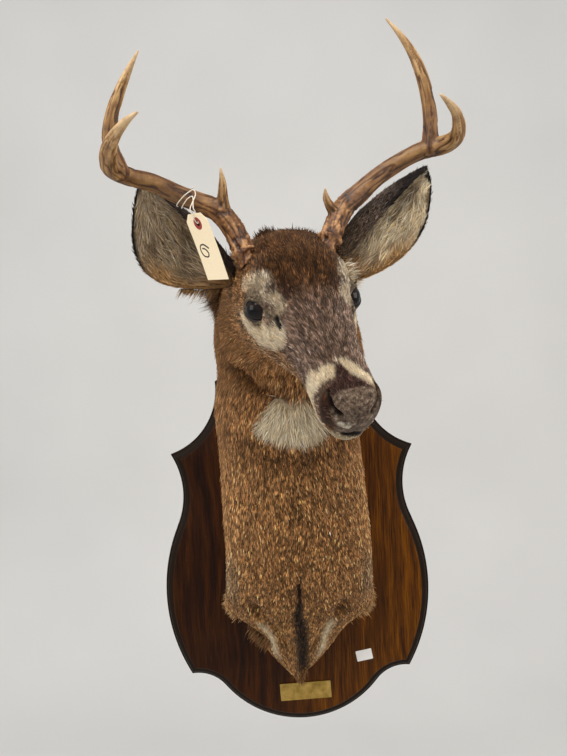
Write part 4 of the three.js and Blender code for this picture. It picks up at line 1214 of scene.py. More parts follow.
def lid_edge(side, grow, distance, count=120):
    """Places round the opening at a given measure of the lids and distance from the eyeball's
    middle, the inverse of lid_measure."""
    centre, (look, along, rise) = eye_axes(side)
    turn = np.arange(count) * 2 * np.pi / count
    y = np.sin(turn) * np.where(np.sin(turn) > 0, LID_HIGH, LID_LOW) * grow
    x = np.cos(turn) * LID_LONG * grow
    x, y = x - LID_SHIFT, y - LID_TILT * x
    angle = np.maximum(np.hypot(x, y), 1e-6)
    flat = (x / angle)[:, None] * along + (y / angle)[:, None] * rise
    return centre + distance * (np.cos(angle)[:, None] * look + np.sin(angle)[:, None] * flat), turn


def add_lid_rim(name, side, finish):
    """The lids' wet edge: a soft rounded band round the opening, resting on the eyeball. Its rings
    run from inside the opening out over the lid."""
    profile = [(0.90, -0.9), (0.93, 0.25), (0.96, 0.85), (1.00, 1.30), (1.05, 1.50), (1.10, 1.30),
               (1.13, 0.8), (1.10, -0.6)]
    rings = np.array([lid_edge(side, grow, EYE_RADIUS + rise)[0] for grow, rise in profile])
    rings = np.concatenate([rings, rings[:1]])
    rows, columns = rings.shape[:2]
    points = rings[:-1].reshape(-1, 3)
    faces = grid_faces(rows, columns) % len(points)
    add_piece(name, points, [faces], finish, "coat")


# ---- Ears ----

# Root, tip, the way the open side faces, the greatest half-widths on the outer and the inner side
# of the axis, the outer side's swelling as (start, span, power) of a sine, and three colours: the
# inside, the back, and the back where the ear joins the head. "curl" is how far the inner rim turns
# over, and "hang" the length of the hair that hangs from the root's lower edge.
EAR_SHAPES = {
    "ear_right": {"root": (-54, -290, 394), "tip": (-157, -262, 519), "open": (-0.25, -0.95, 0.1),
                  "outer": 66, "inner": 17, "turned": -1, "swell": (0.03, 0.96, 0.85), "curl": 0.27,
                  "inside": "8f7c62", "back": "30251e", "root_back": "2a1f18", "hang": 17.0},
    "ear_left": {"root": (62, -281.5, 398.5), "tip": (180, -215, 526), "open": (0.12, -0.97, 0.12),
                 "outer": 46, "inner": 25, "turned": 1, "swell": (0.096, 0.894, 0.75), "curl": 0.46,
                 "inside": "cfbb98", "back": "5e5046", "root_back": "4f4032", "hang": 0.0},
}
# depth of the C, rise of the turned-over part, thickness of the leather, and where the curl starts
EAR_DEPTH, EAR_FOLD, EAR_THICK, EAR_TURN_AT = 15.0, 6.0, 3.0, -0.45


def ear_axes(shape):
    """Root, length and the directions along, across and facing of an ear."""
    root, tip = np.array(shape["root"], float), np.array(shape["tip"], float)
    long = np.linalg.norm(tip - root)
    along = (tip - root) / long
    facing = np.array(shape["open"]) - (np.array(shape["open"]) @ along) * along
    facing = unit(facing)
    across = -shape["turned"] * np.cross(along, facing)
    if across[0] * shape["turned"] < 0:
        across = -across
    return root, long, along, across, facing


def ear_middle(shape, share, t):
    """Middle sheet of an ear at a share of its length and at t across it. In section it is a C of
    two quarter ellipses and a curl: from the outer edge at t = 1 down to the floor, up the inner
    side at t = EAR_TURN_AT, and over towards the open side to the rim at t = -1."""
    root, long, along, across, facing = ear_axes(shape)
    share = np.clip(share, 0.0, 1.0)
    start, span, power = shape["swell"]
    wide = shape["outer"] * np.sin(np.pi * (start + span * share)) ** power
    narrow = shape["inner"] * np.sin(np.pi * (0.12 + 0.87 * share ** 0.75)) ** 0.9
    floor = 1 + (t - EAR_TURN_AT) / (1 - EAR_TURN_AT)
    curl = 1 - shape["curl"] * (EAR_TURN_AT - t) / (1 + EAR_TURN_AT)
    turn = np.pi * np.where(t > EAR_TURN_AT, floor, curl)
    x, y = np.cos(turn), np.sin(turn)
    form = np.sin(np.pi * (0.25 + 0.74 * share)) ** 0.8
    reach = np.where(x > 0, wide, narrow) * x
    rise = form * np.where(y < 0, EAR_DEPTH * (1 + y), EAR_DEPTH + EAR_FOLD * y)
    return (root + (long * share)[..., None] * along + reach[..., None] * across
            + rise[..., None] * facing)


def ear_sheet(shape, share, t):
    """The middle sheet with the directions up it, across it and out of its open side."""
    _, _, along, across, facing = ear_axes(shape)
    step = 0.01
    up_it = unit(ear_middle(shape, share + step, t) - ear_middle(shape, share - step, t))
    over = unit(ear_middle(shape, share, t + step) - ear_middle(shape, share, t - step))
    sign = np.sign(np.cross(along, across) @ facing)
    return ear_middle(shape, share, t), up_it, over, sign * unit(np.cross(up_it, over))


def ear_shades(shape, share, t, inside, points):
    """Colours of an ear: pale grey inside with dusky clouds and painted shade in the hollow at its root,
    the back's own colour behind, black tips and rims, and a warm brown lower edge."""
    clouds = layered_noise(points, 13.0, 91, 2)
    pale = mix(colour(shape["inside"]), colour("5d4a37"), (0.8 * ramp(clouds, -0.05, 0.5))[..., None])
    back = mix(colour(shape["root_back"]), colour(shape["back"]), ramp(share, 0.2, 0.5)[..., None])
    tone = np.where(inside[..., None], pale, back)
    # painted shade deep in the hollow at the ear's root
    hollow = ramp(share, 0.42, 0.14) * ramp(np.abs(t + 0.12), 0.55, 0.2) * inside
    tone = mix(tone, colour("2e2118"), (0.85 * hollow)[..., None])
    low = ramp(share, 0.62, 0.30) * ramp(t, 0.60, 0.85)
    tone = mix(tone, colour("8f6c42"), low[..., None])
    foot = ramp(share, 0.16, 0.04) * ramp(t, 0.0, 0.4)
    tone = mix(tone, colour("8a6843"), foot[..., None])
    rim = ramp(np.abs(t), 0.86, 0.95) * ramp(share, 0.42, 0.58) + ramp(share + 0.06 * clouds, 0.86, 0.94)
    dark = np.clip(rim + ramp(share, 0.5, 0.8) * ~inside, 0, 1)
    return mix(tone, colour("1a1310"), dark[..., None])


def add_ear(name, shape, finish):
    """Both walls of an ear as one closed surface: round each ring the front wall runs from the
    inner rim to the outer and the back wall returns."""
    rows, across_count = 70, 44
    share = np.linspace(0, 1, rows)
    t = np.linspace(-1, 1, across_count)
    t_ring = np.concatenate([t, t[::-1]])
    front = np.arange(len(t_ring)) < across_count
    s, tt = np.meshgrid(share, t_ring, indexing="ij")
    middle, _, _, normal = ear_sheet(shape, s, tt)
    thick = mix(1.0, EAR_THICK, (1 - tt ** 2) * (1 - s ** 4)) / 2
    ridges = 0.8 * np.sin(tt * 9.0) * bell(s - 0.35, 0.3) * (1 - tt ** 2)
    points = middle + np.where(front, thick + ridges, -thick)[..., None] * normal
    flat, faces = closed_grid(points)
    shades = ear_shades(shape, s, tt, np.broadcast_to(front, s.shape), points)
    shades = np.concatenate([shades.reshape(-1, 3), shades[0, :1], shades[-1, :1]])
    add_piece(name + "_leather", flat, faces, finish, "ear_coat", (name,),
              [("Coat", shades * 0.75), ("Bare", np.zeros(len(flat)))])


# ---- Antlers ----

BEAM_RADII = [12.5, 13, 13, 12, 10.8, 10.2, 10.2, 10.5, 10.5, 9, 7, 5, 1.8]
BROW_RADII = [9.5, 6.5, 4.6, 1.5]
FORK_RADII = [10.5, 8.6, 7.8, 6.6, 4.6, 1.6]
BURR_RADIUS = 15.0
BURR_FORM = [0.6, 0.72, 0.84, 0.93, 0.98, 1.0, 1.0, 0.97, 0.92, 0.86, 0.78, 0.7]
ROD_SIDE = (0.1, -1.0, 0.2)          # the first side of every rod, towards the room
VOXEL = 1.15                         # mm
ANTLERS = {
    "antler_right": {
        "beam": [(-41, -322, 426), (-51, -317, 451), (-67, -317, 471), (-86, -320, 480),
                 (-108, -326, 489), (-132, -338, 500), (-153, -354, 504), (-167, -380, 509),
                 (-163, -408, 519), (-151, -432, 528), (-137, -448, 536), (-123, -460, 541)],
        "brow": [(-60, -318, 467), (-60, -324, 483), (-59, -330, 499), (-60, -336, 514)],
        "fork": [(-161, -368, 506), (-169, -372, 539), (-165, -374, 563), (-157, -377, 582),
                 (-146, -382, 601), (-132, -388, 622)]},
    "antler_left": {
        "beam": [(56, -308, 438), (65, -299, 458), (75, -293, 473), (93, -287, 489),
                 (115, -283, 507), (142, -282, 523), (164, -286, 532), (185, -293, 535),
                 (196, -308, 538), (197, -330, 545), (191, -348, 555), (181, -360, 563),
                 (170, -370, 570)],
        "brow": [(66, -299, 462), (58, -305, 471), (53, -310, 481), (52, -314, 491)],
        "fork": [(173, -289, 532), (174, -290, 567), (170, -292, 597), (160, -296, 628),
                 (145, -301, 652), (126, -306, 673)]},
}


def tapering(points, radii, count):
    """Path through the points and its radius at each place, in straight steps between the radii."""
    path = smooth_route(points, count)
    return path, np.interp(np.linspace(0, 1, count), np.linspace(0, 1, len(radii)), radii)


def joined_by_voxels(name, parts, voxel):
    """Overlapping closed meshes made one closed mesh, by Blender's voxel remesh. Returns its points
    and quads in mm."""
    points = np.concatenate([p for p, _ in parts])
    starts = np.cumsum([0] + [len(p) for p, _ in parts])
    faces = [(group + start).tolist() for (_, groups), start in zip(parts, starts) for group in groups]
    mesh = bpy.data.meshes.new(name)
    mesh.from_pydata((points * MM).tolist(), [], [face for group in faces for face in group])
    rough = bpy.data.objects.new(name, mesh)
    bpy.context.scene.collection.objects.link(rough)
    remesh = rough.modifiers.new("join", "REMESH")
    remesh.mode = "VOXEL"
    remesh.voxel_size = voxel * MM
    smooth = rough.modifiers.new("soften", "SMOOTH")
    smooth.factor, smooth.iterations = 0.5, 6
    depsgraph = bpy.context.evaluated_depsgraph_get()
    done = rough.evaluated_get(depsgraph).to_mesh()
    out = np.empty(len(done.vertices) * 3, np.float32)
    done.vertices.foreach_get("co", out)
    corners = np.empty(len(done.loops), np.int32)
    done.loops.foreach_get("vertex_index", corners)
    quads = corners.reshape(-1, 4)
    normals = np.empty(len(done.vertices) * 3, np.float32)
    done.vertices.foreach_get("normal", normals)
    result = out.reshape(-1, 3).astype(float) / MM, quads.copy(), normals.reshape(-1, 3).astype(float)
    rough.evaluated_get(depsgraph).to_mesh_clear()
    bpy.data.objects.remove(rough)
    bpy.data.meshes.remove(mesh)
    return result


def add_antler(name, shape, finish):
    """Beam and tines as tapering rods joined to one body, then carved: long ridges and grooves that
    follow the rods, beads that fade out up the beam, and a knobbly burr at its foot."""
    rods = {
        "beam": tapering(shape["beam"], BEAM_RADII, 150),
        "brow": tapering(shape["brow"], BROW_RADII, 40),
        "fork": tapering(shape["fork"], FORK_RADII, 70),
    }
    parts = []
    for path, radii in rods.values():
        parts.append(swept(path, circle(1.0, 28), ROD_SIDE, radii))
    foot, axis = rods["beam"][0][0], unit(rods["beam"][0][6] - rods["beam"][0][0])
    pedicle = foot - axis * np.linspace(20, -3, 8)[:, None]
    parts.append(swept(pedicle, circle(11.0, 28), ROD_SIDE))
    burr = foot + axis * np.linspace(-10, 3, len(BURR_FORM))[:, None]
    parts.append(swept(burr, circle(1.0, 40), ROD_SIDE, BURR_RADIUS * np.array(BURR_FORM)))
    points, quads, normals = joined_by_voxels(name, parts, VOXEL)
    best = np.full(len(points), np.inf)
    along = np.zeros(len(points))
    round_place = np.zeros((len(points), 3))
    base = np.zeros(len(points))
    travelled = 0.0
    for key, (path, radii) in rods.items():
        _, side, third = frames_along(path, ROD_SIDE)
        step = np.concatenate([[0.0], np.cumsum(np.linalg.norm(np.diff(path, axis=0), axis=1))])
        for start in range(0, len(points), 8000):
            block = slice(start, start + 8000)
            apart = np.linalg.norm(points[block, None] - path[None], axis=-1)
            k = apart.argmin(1)
            over = apart.min(1) - radii[k]
            closer = over < best[block]
            offset = unit(points[block] - path[k])
            x, y = np.einsum("ij,ij->i", offset, side[k]), np.einsum("ij,ij->i", offset, third[k])
            place = np.stack([x * 9.0, y * 9.0, step[k] / 7.0 + travelled], axis=-1)
            share = step[k] / step[-1]
            far = share if key == "beam" else mix(0.35, 1.0, share)
            along[block] = np.where(closer, far, along[block])
            base[block] = np.where(closer, np.where(key == "beam", step[k], 60 + step[k]), base[block])
            round_place[block] = np.where(closer[:, None], place, round_place[block])
            best[block] = np.minimum(best[block], over)
        travelled += 50.0
    ridges = layered_noise(round_place, 3.2, 31, 2)
    beads = layered_noise(points, 4.2, 37, 2)
    from_foot = np.linalg.norm(points - foot, axis=1)
    knobs = layered_noise(points, 5.0, 41, 2) * ramp(from_foot, 21, 15)
    tips = ramp(along, 0.98, 0.75)
    grooves = np.abs(layered_noise(round_place, 4.6, 35, 2))
    low = ramp(base, 95, 25)
    carved = 0.8 * ridges * tips - 0.9 * ramp(grooves, 0.16, 0.02) * tips
    carved = carved + 1.5 * (np.abs(beads) - 0.25) * low + 1.8 * knobs
    points = points + normals * (carved - 0.45)[:, None]
    relief = np.clip(0.62 + 0.30 * carved, 0, 1)
    nodes = [name + end for end in ("_base", "_tip", "_brow_tine", "_fork_tine")]
    add_piece(name, points, [quads], finish, "antler", nodes, [("Along", along), ("Relief", relief)])


# ---- Tag and string ----

HOLE_AT = np.array([-86.0, -345.5, 454.0])
CARD_DOWN, CARD_ACROSS = (0.285, 0.3, -0.9), (0.66, -0.74, -0.17)
CARD_THICK, CARD_BOW, BOW_FROM = 0.5, 0.0006, 12.0
EYELET_OUTER, EYELET_BORE, EYELET_THICK = 6.8, 3.4, 1.1
# the string's width, its share of the way up the beam, the beam's radius there, the height of the
# string's middle over it, and the length of one turn of the twist
STRING_WIDE, STRING_AT, STRING_BEAM, STRING_LIFT, STRING_TURN = 1.3, 0.315, 11.0, 1.2, 4.0

# The string's route. "beam": degrees round the right beam (0 on top, 90 in front), shift along it,
# and height over its lift. "card": across the card, up it from the hole, and out from its front.
STRING_ROUTE = [
    ("beam", 195, 9, 0), ("beam", 160, 11, 0), ("beam", 125, 10, 0), ("beam", 90, 7, 0),
    ("beam", 60, 3, 0), ("beam", 48, 0, 1.8), ("beam", 66, -3.4, 2.4), ("card", -1, 16, 2.2),
    ("card", -0.6, 11, 1.9), ("card", -0.2, 4, 1.8), ("card", 0, 0, 0), ("card", 0.2, 4, -1.8),
    ("card", 0.6, 11, -1.9), ("card", 1, 16, -1), ("beam", 80, -1, 0.2), ("beam", 98, 2.5, 0),
    ("beam", 128, 4.5, 0), ("beam", 165, 5, 0), ("beam", 205, 4, 0), ("beam", 250, 3, 0),
    ("beam", 295, 2, 0), ("beam", 335, 1, 0), ("beam", 368, 0.4, 0.8), ("beam", 396, 1.5, 1.4),
]


def card_axes():
    """Across the card, down its length, and out of the side that faces the room."""
    down = unit(np.array(CARD_DOWN))
    across = unit(np.array(CARD_ACROSS) - (np.array(CARD_ACROSS) @ down) * down)
    return across, down, -np.cross(across, down)


def on_card(x, y, out):
    """Rows of places on the card, x across and y down from the hole, at one height. The card bows by
    the square of the distance down it, but not near the hole."""
    across, down, front = card_axes()
    bow = CARD_BOW * np.maximum(y - BOW_FROM, 0.0) ** 2
    return HOLE_AT + x[:, None] * across + y[:, None] * down + (out + bow)[:, None] * front


def beam_frame():
    """Middle of the right beam where the string goes round it, its direction, up and front."""
    beam = smooth_route(ANTLERS["antler_right"]["beam"], 600)
    row = string_row(beam)
    along = unit(beam[row + 1] - beam[row - 1])
    front = unit(np.array([0.0, -1.0, 0.0]) + along[1] * along)
    up = unit(np.cross(front, along))
    return beam[row], along, up if up[2] > 0 else -up, front


def string_row(beam):
    """Row of the evenly spaced beam nearest to the string's share of the control points."""
    points = np.array(ANTLERS["antler_right"]["beam"], float)
    place = STRING_AT * (len(points) - 1)
    before = int(place)
    goal = mix(points[before], points[before + 1], place - before)
    return int(np.argmin(np.linalg.norm(beam - goal, axis=1)))


def string_points():
    """The route's places in mm."""
    centre, along, up, front = beam_frame()
    across, down, out = card_axes()
    places = []
    for kind, a, b, c in STRING_ROUTE:
        if kind == "card":
            places.append(HOLE_AT + a * across - b * down + c * out)
        else:
            distance = STRING_BEAM + STRING_LIFT + c
            turn = math.radians(a)
            places.append(centre + b * along + distance * (math.cos(turn) * up + math.sin(turn) * front))
    return np.array(places)


def add_string(finish):
    """Two strands side by side that turn round each other: a figure of eight section, its radius
    r(angle) = half width times 0.62 + 0.38 |cos angle|, carried along the route with a twist."""
    path = smooth_route(string_points(), 420)
    length = np.linalg.norm(np.diff(path, axis=0), axis=1).sum()
    _, side, third = frames_along(path, (0, 0, 1))
    angle = np.arange(14) * 2 * np.pi / 14
    radius = STRING_WIDE / 2 * (0.62 + 0.38 * np.abs(np.cos(angle)))
    travelled = np.linspace(0, length, len(path))
    twist = travelled[:, None] * 2 * np.pi / STRING_TURN
    x, y = radius * np.cos(angle + twist), radius * np.sin(angle + twist)
    rings = path[:, None] + x[..., None] * side[:, None] + y[..., None] * third[:, None]
    points, faces = closed_grid(rings)
    string = add_piece("string", points, faces, finish, "cotton_string", ("tag_string",))


def add_eyelet(finish):
    """Reinforcing ring: a rounded rectangle turned about the hole."""
    across, down, front = card_axes()
    turn = np.arange(24) * 2 * np.pi / 24
    middle, half = (EYELET_OUTER + EYELET_BORE) / 2, (EYELET_OUTER - EYELET_BORE) / 2
    r = middle + half * np.sign(np.cos(turn)) * np.abs(np.cos(turn)) ** 0.6
    h = EYELET_THICK / 2 * np.sign(np.sin(turn)) * np.abs(np.sin(turn)) ** 0.6
    angle = np.arange(64) * 2 * np.pi / 64
    way = np.cos(angle)[:, None, None] * across + np.sin(angle)[:, None, None] * down
    points = HOLE_AT + way * r[None, :, None] + h[None, :, None] * front
    rows, columns = points.shape[:2]
    faces = grid_faces(rows + 1, columns) % (rows * columns)
    return add_piece("tag_ring", points.reshape(-1, 3), [faces], finish, "red_fibre", ("tag_eyelet",))


def add_numeral(finish):
    """The number 6 in felt-tip: a stroke over from the upper right that closes in a bowl, a flat
    ribbon of ink on the card. The route holds (across, 0, down from the hole)."""
    route = [(3.4, 0, 28.4), (-4.8, 0, 23.6), (-10.4, 0, 24.3), (-12.4, 0, 26.4),
             (-13.3, 0, 31.3), (-10.8, 0, 35.9), (-6.1, 0, 37.6), (-2.6, 0, 37.1),
             (-0.6, 0, 34.2), (-1.9, 0, 30.9), (-5.1, 0, 28.5), (-9.5, 0, 27.9)]
    t = np.linspace(0, 1, 90)
    flat = smooth_route(route, 90)[:, [0, 2]]
    way = unit(np.gradient(flat, axis=0))
    normal = np.stack([-way[:, 1], way[:, 0]], axis=-1)
    wide = 0.95 + 0.15 * np.sin(t * 17)
    section = [(-1.0, 0.0), (-0.7, 0.10), (0.7, 0.10), (1.0, 0.0), (0.0, -0.12)]
    rings = []
    for across, rise in section:
        place = flat + normal * (wide * across)[:, None]
        rings.append(on_card(place[:, 0], place[:, 1], CARD_THICK / 2 + rise))
    points, faces = closed_grid(np.stack(rings, axis=1))
    return add_piece("tag_numeral", points, faces, finish, "tag_card")


# ---- Fur ----

LOCK_FACES = np.array([(0, 2, 1), (0, 3, 2), (0, 1, 3), (4, 1, 2), (4, 2, 3), (4, 3, 1)])
SPINE_FACES = np.array([(0, 1, 2), (0, 3, 1), (1, 3, 2), (2, 3, 0)])
BAKE_PATCH = 0.003                   # side of each lock's patch on the unwrap
BAND_OVERLAP = 30.0                  # neighbouring bands of fur thin out over this much of each other
EAR_LOCKS = 12000                    # on each ear
COAT_SEED, FRINGE_SEED, EAR_SEED, LASH_SEED = 100, 71, 200, 300


def add_tufts(name, finish, slot, root, normal, lie, length, lift, wide, bend, shades, place, long=True):
    """Locks of hair as closed slivers that start just under the skin, lean along the lie of the
    coat and end at a point: centre(s) = root + s length lie + (s lift - bend (s length)^2 / 2)
    normal. A long lock is a spindle, a point at both ends with a three-sided section 0.4 of the
    way along; a short one is a spike. shades holds the colours of root, middle and tip; place is
    its root on the unwrap."""
    side = unit(np.cross(normal, lie))
    if long:
        share = np.array([0, 0.4, 0.4, 0.4, 1.0])
        sideways = np.array([0, -0.5, 0.5, 0, 0])
        rise = np.array([-0.6, -0.15, -0.15, 0.35, 0.0])
        tone = np.array([0, 1, 1, 1, 2])
        triangles, patch = LOCK_FACES, np.array([(.5, 0), (0, .4), (1, .4), (.5, .5), (.5, 1)])
    else:
        share = np.array([0, 0, 0, 1.0])
        sideways = np.array([-0.5, 0.5, 0, 0])
        rise = np.array([-0.5, -0.5, 0.4, 0.0])
        tone = np.array([0, 0, 1, 2])
        triangles, patch = SPINE_FACES, np.array([(0, 0), (1, 0), (.5, .3), (.5, 1)])
    reach = share[None] * length[:, None]
    height = share[None] * lift[:, None] - bend[:, None] * reach ** 2 / 2 + rise[None] * wide[:, None]
    points = (root[:, None] + reach[..., None] * lie[:, None] + height[..., None] * normal[:, None]
              + (sideways[None] * wide[:, None])[..., None] * side[:, None])
    points[..., 1] = np.minimum(points[..., 1], BACK_PLANE - 0.2)
    faces = (triangles[None] + (np.arange(len(root)) * len(share))[:, None, None]).reshape(-1, 3)
    corner_patch = np.tile(patch[triangles].reshape(-1, 2), (len(root), 1)) - 0.5
    uv = np.repeat(place, triangles.size, axis=0) + BAKE_PATCH * corner_patch
    tones = shades[:, tone].reshape(-1, 3)
    add_piece(name, points.reshape(-1, 3), [faces], finish, slot, (), [("Coat", tones)],
              [uv.reshape(-1, 3, 2)], smooth=False)


PALE_TINT = np.array([0.88, 1.0, 1.24])    # pale hair tips are greyer than the coat below them
DUSKY_TINT = np.array([1.06, 1.0, 0.86])   # dark tips are a little redder
DUSKY_SHARE = 0.42                         # of the hairs


def ticked(base, rng, spread, dark=0.34, pale=1.75, dusky=0.42):
    """Root, middle and tip colours of ticked hairs: a darker root, partly the hair's own dusky base and
    partly painted shade deep in the coat, a body near the coat's colour and a tip that is pale on
    some hairs and dark on the rest."""
    count = len(base)
    shade = np.exp(rng.normal(0, spread, count))[:, None]
    warm = 1 + rng.normal(0, 0.05, (count, 1)) * np.array([1.0, 0.0, -1.2])
    tip = np.where((rng.random(count) < DUSKY_SHARE)[:, None], np.reshape(dusky, (-1, 1)) * DUSKY_TINT,
                   np.reshape(pale, (-1, 1)) * PALE_TINT)
    # the root's darkness is partly the hair's own dusky base and partly painted shade deep in the coat
    foot = (dark * np.ones(count))[:, None]
    body = base * shade * warm
    return np.clip(np.stack([body * foot, body, body * tip], axis=1), 0.002, 0.92)


def scattered(grid, weight, count, rng):
    """Random places on a grid, as thick on the ground as the weight of each face asks: rows and
    columns with their parts."""
    points = grid["points"]
    wrapped = np.concatenate([points, points[:, :1]], axis=1)
    down, across = np.diff(wrapped, axis=0)[:, :-1], np.diff(wrapped, axis=1)[:-1]
    area = np.linalg.norm(np.cross(down, across), axis=-1) * weight[:-1]
    total = np.cumsum(area.ravel())
    pick = np.searchsorted(total, rng.random(count) * total[-1])
    columns = points.shape[1]
    return pick // columns, pick % columns, rng.random(count), rng.random(count)


def between(field, rows, columns, down, across):
    """Bilinear value of a grid field at scattered places."""
    next_column = (columns + 1) % field.shape[1]
    shape = (-1,) + (1,) * (field.ndim - 2)
    down, across = down.reshape(shape), across.reshape(shape)
    top = mix(field[rows, columns], field[rows, next_column], across)
    bottom = mix(field[rows + 1, columns], field[rows + 1, next_column], across)
    return mix(top, bottom, down)


def coat_lengths(points):
    """Length of the hair in mm: very short on the muzzle and lids, long on throat and breast."""
    place, _ = head_place(points)
    ahead = place[..., 1]
    length = mix(13.0, 7.5, ramp(ahead, -110, -10))
    length = mix(length, 6.0, ramp(ahead, 10, 60))
    length = mix(length, 4.0, ramp(ahead, 110, 160))
    length = mix(length, 11.0, crown_field(place) * ramp(ahead, 50, 10))
    length = mix(length, 17.0, throat_field(points))
    measure, _, apart = lid_measure(place)
    return mix(length, 3.6, ramp(measure, 2.6, 1.7) * (apart < 60))


def fur_band(name, first, last, count, seed, finish, long, wide):
    """Tufts on the rings of the skin between two stations, half as thick towards the wall, and
    thinning out over the last part of the band at both its ends."""
    rng = np.random.default_rng(seed)
    stations = SKIN["stations"]
    rows = np.flatnonzero((stations >= first) & (stations <= last))
    part = {"points": SKIN["points"][rows]}
    weight = mix(0.5, 1.0, ramp(SKIN["normals"][rows][..., 1], 0.5, -0.1)) * (1 - 0.95 * BARE_FACE[rows])
    fade = BAND_OVERLAP if first > 10 else 1.0
    ends = ramp(stations[rows], first, first + fade) * ramp(stations[rows], last, last - BAND_OVERLAP)
    weight = weight * np.maximum(ends, 0.02)[:, None]
    i, j, di, dj = scattered(part, weight, count, rng)

    def at(field):
        """A grid field's values at the roots of the tufts."""
        return between(field[rows], i, j, di, dj)

    root, normal = at(SKIN["points"]), unit(at(SKIN["normals"]))
    keep = rng.random(count) > at(BARE_FACE) * 1.6
    length = at(LENGTH_GRID) * np.exp(rng.normal(0, 0.18, count))
    loose = 0.10 + 0.16 * ramp(length, 8, 16)
    lie = at(LIE_GRID)
    lie = lie + loose[:, None] * rng.normal(size=lie.shape)
    lie = unit(lie - np.einsum("ij,ij->i", lie, normal)[:, None] * normal)
    lift = length * np.clip(at(LIFT_GRID) + rng.normal(0, 0.05, count), 0.03, 0.8)
    width = wide * np.exp(rng.normal(0, 0.2, count)) * np.clip(length / 9.0, 0.6, 1.1)
    width = width * mix(1.0, 0.62, throat_field(root))
    base = at(SHADE_GRID)
    pale = ramp(base.mean(-1), 0.13, 0.33)
    mottle = layered_noise(root, 2.5, 87, 2)
    strong = ramp(from_head(root)[1], -110, -20)
    base = base * np.exp(mix(mix(0.26, 0.50, strong), 0.14, pale) * mottle / mottle.std())[:, None]
    shades = ticked(base, rng, mix(mix(0.30, 0.50, strong), 0.16, pale), dusky=mix(0.48, 0.75, pale),
                    pale=mix(mix(1.55, 2.2, strong), 1.15, pale), dark=mix(0.34, 0.55, pale))
    place = unwrapped(stations[rows], i, j, di, dj)
    cut = [a[keep] for a in (root, normal, lie, length, lift, width, at(SKIN["bend"]), shades, place)]
    add_tufts(name, finish, "coat", *cut, long=long)


def lie_of_coat():
    """Direction of the hair all over the hide: back from the nose and down the neck, swirled by
    noise, fanning out below the jaw, and out from the seam down the flaps of the breast."""
    points = SKIN["points"]
    lie = SKIN["down"].copy()
    x, _, z = np.moveaxis(points, -1, 0)
    swirl = np.stack([layered_noise(points, 38.0, 71), 0 * x, 0 * x], axis=-1)
    waves = np.stack([layered_noise(points, 16.0, 73), 0 * x, layered_noise(points, 16.0, 77)], axis=-1)
    crown = crown_field(head_place(points)[0])[..., None]
    lie = lie + 0.36 * swirl + 0.9 * crown * waves + crown * np.array([0.0, 0.0, 0.5])
    fan = unit(np.stack([x - THROAT_AT[0], np.zeros_like(x), z - THROAT_AT[1]], axis=-1))
    lie = mix(lie, fan, ramp(throat_field(points), 0.0, 0.5)[..., None])
    breast = ramp(z, 60, -60)
    away = (x - 3) / 60 * ramp(np.abs(z + 30), 100, 20)
    lie = lie + (0.5 * breast)[..., None] * np.stack([away, 0 * x, -np.ones_like(x)], axis=-1)
    return unit(lie)


def lift_of_coat():
    """How far the hair stands off the skin, as a share of its length."""
    points = SKIN["points"]
    place, _ = head_place(points)
    lift = mix(0.20, 0.13, ramp(place[..., 1], -60, 20))
    rough = layered_noise(points, 26.0, 83)
    return lift + 0.10 * ramp(rough, 0.2, 0.7) + 0.16 * crown_field(place)


LIE_GRID = lie_of_coat()
LENGTH_GRID = coat_lengths(SKIN["points"])
LIFT_GRID = lift_of_coat()

# name, first and last station, how many locks, long or short, width in mm
FUR_BANDS = [
    ("fur_muzzle", 2, 110, 22000, False, 0.8),
    ("fur_face", 80, 215, 46000, False, 1.0),
    ("fur_cheeks", 185, 280, 26000, True, 1.15),
    ("fur_poll", 250, 350, 22000, True, 1.35),
    ("fur_throat", 320, 460, 26500, True, 1.35),
    ("fur_neck_upper", 430, 575, 27000, True, 1.35),
    ("fur_neck_middle", 545, 675, 26500, True, 1.4),
    ("fur_neck_lower", 645, 775, 26500, True, 1.4),
    ("fur_breast", 745, LAST_STATION + BAND_OVERLAP, 25000, True, 1.35),
]

# Locks that stand out of the coat: middle (x, y, z), spread, how many, length, direction, lift as a
# share of the length, and the shade.
FRINGES = [
    ((-68, -215, 398), 8, 460, 27, (-0.9, -0.25, -0.30), 0.10, "cheek"),
    ((-74, -208, 387), 8, 460, 20, (-0.85, -0.25, -0.45), 0.10, "cheek"),
    ((-79, -200, 375), 9, 420, 11, (-0.75, -0.2, -0.65), 0.10, "cheek"),
    ((-16, -278, 447), 8, 200, 8, (-0.5, 0.1, 0.8), 0.35, "crown"),
    ((24, -300, 447), 18, 200, 6, (0.3, 0.2, 0.9), 0.30, "crown"),
    ((-57, -247, 421), 12, 160, 11, (-0.3, -0.3, 0.9), 0.45, "ear_root"),
    ((62, -282, 402), 12, 320, 13, (0.8, -0.1, -0.1), 0.45, "fringe"),
    ((58, -296, 394), 9, 200, 11, (0.8, -0.1, 0.2), 0.40, "cream"),
    ((-100, -96, -44), 14, 320, 7, (-0.6, -0.1, -0.75), 0.28, "fringe"),
    ((104, -96, -48), 14, 300, 7, (0.5, -0.1, -0.8), 0.28, "fringe"),
    ((-52, -96, -80), 12, 260, 12, (-0.4, -0.1, -0.9), 0.28, "chest"),
    ((3, -60, -165), 8, 140, 7, (0.1, -0.2, -0.95), 0.22, "chest"),
]


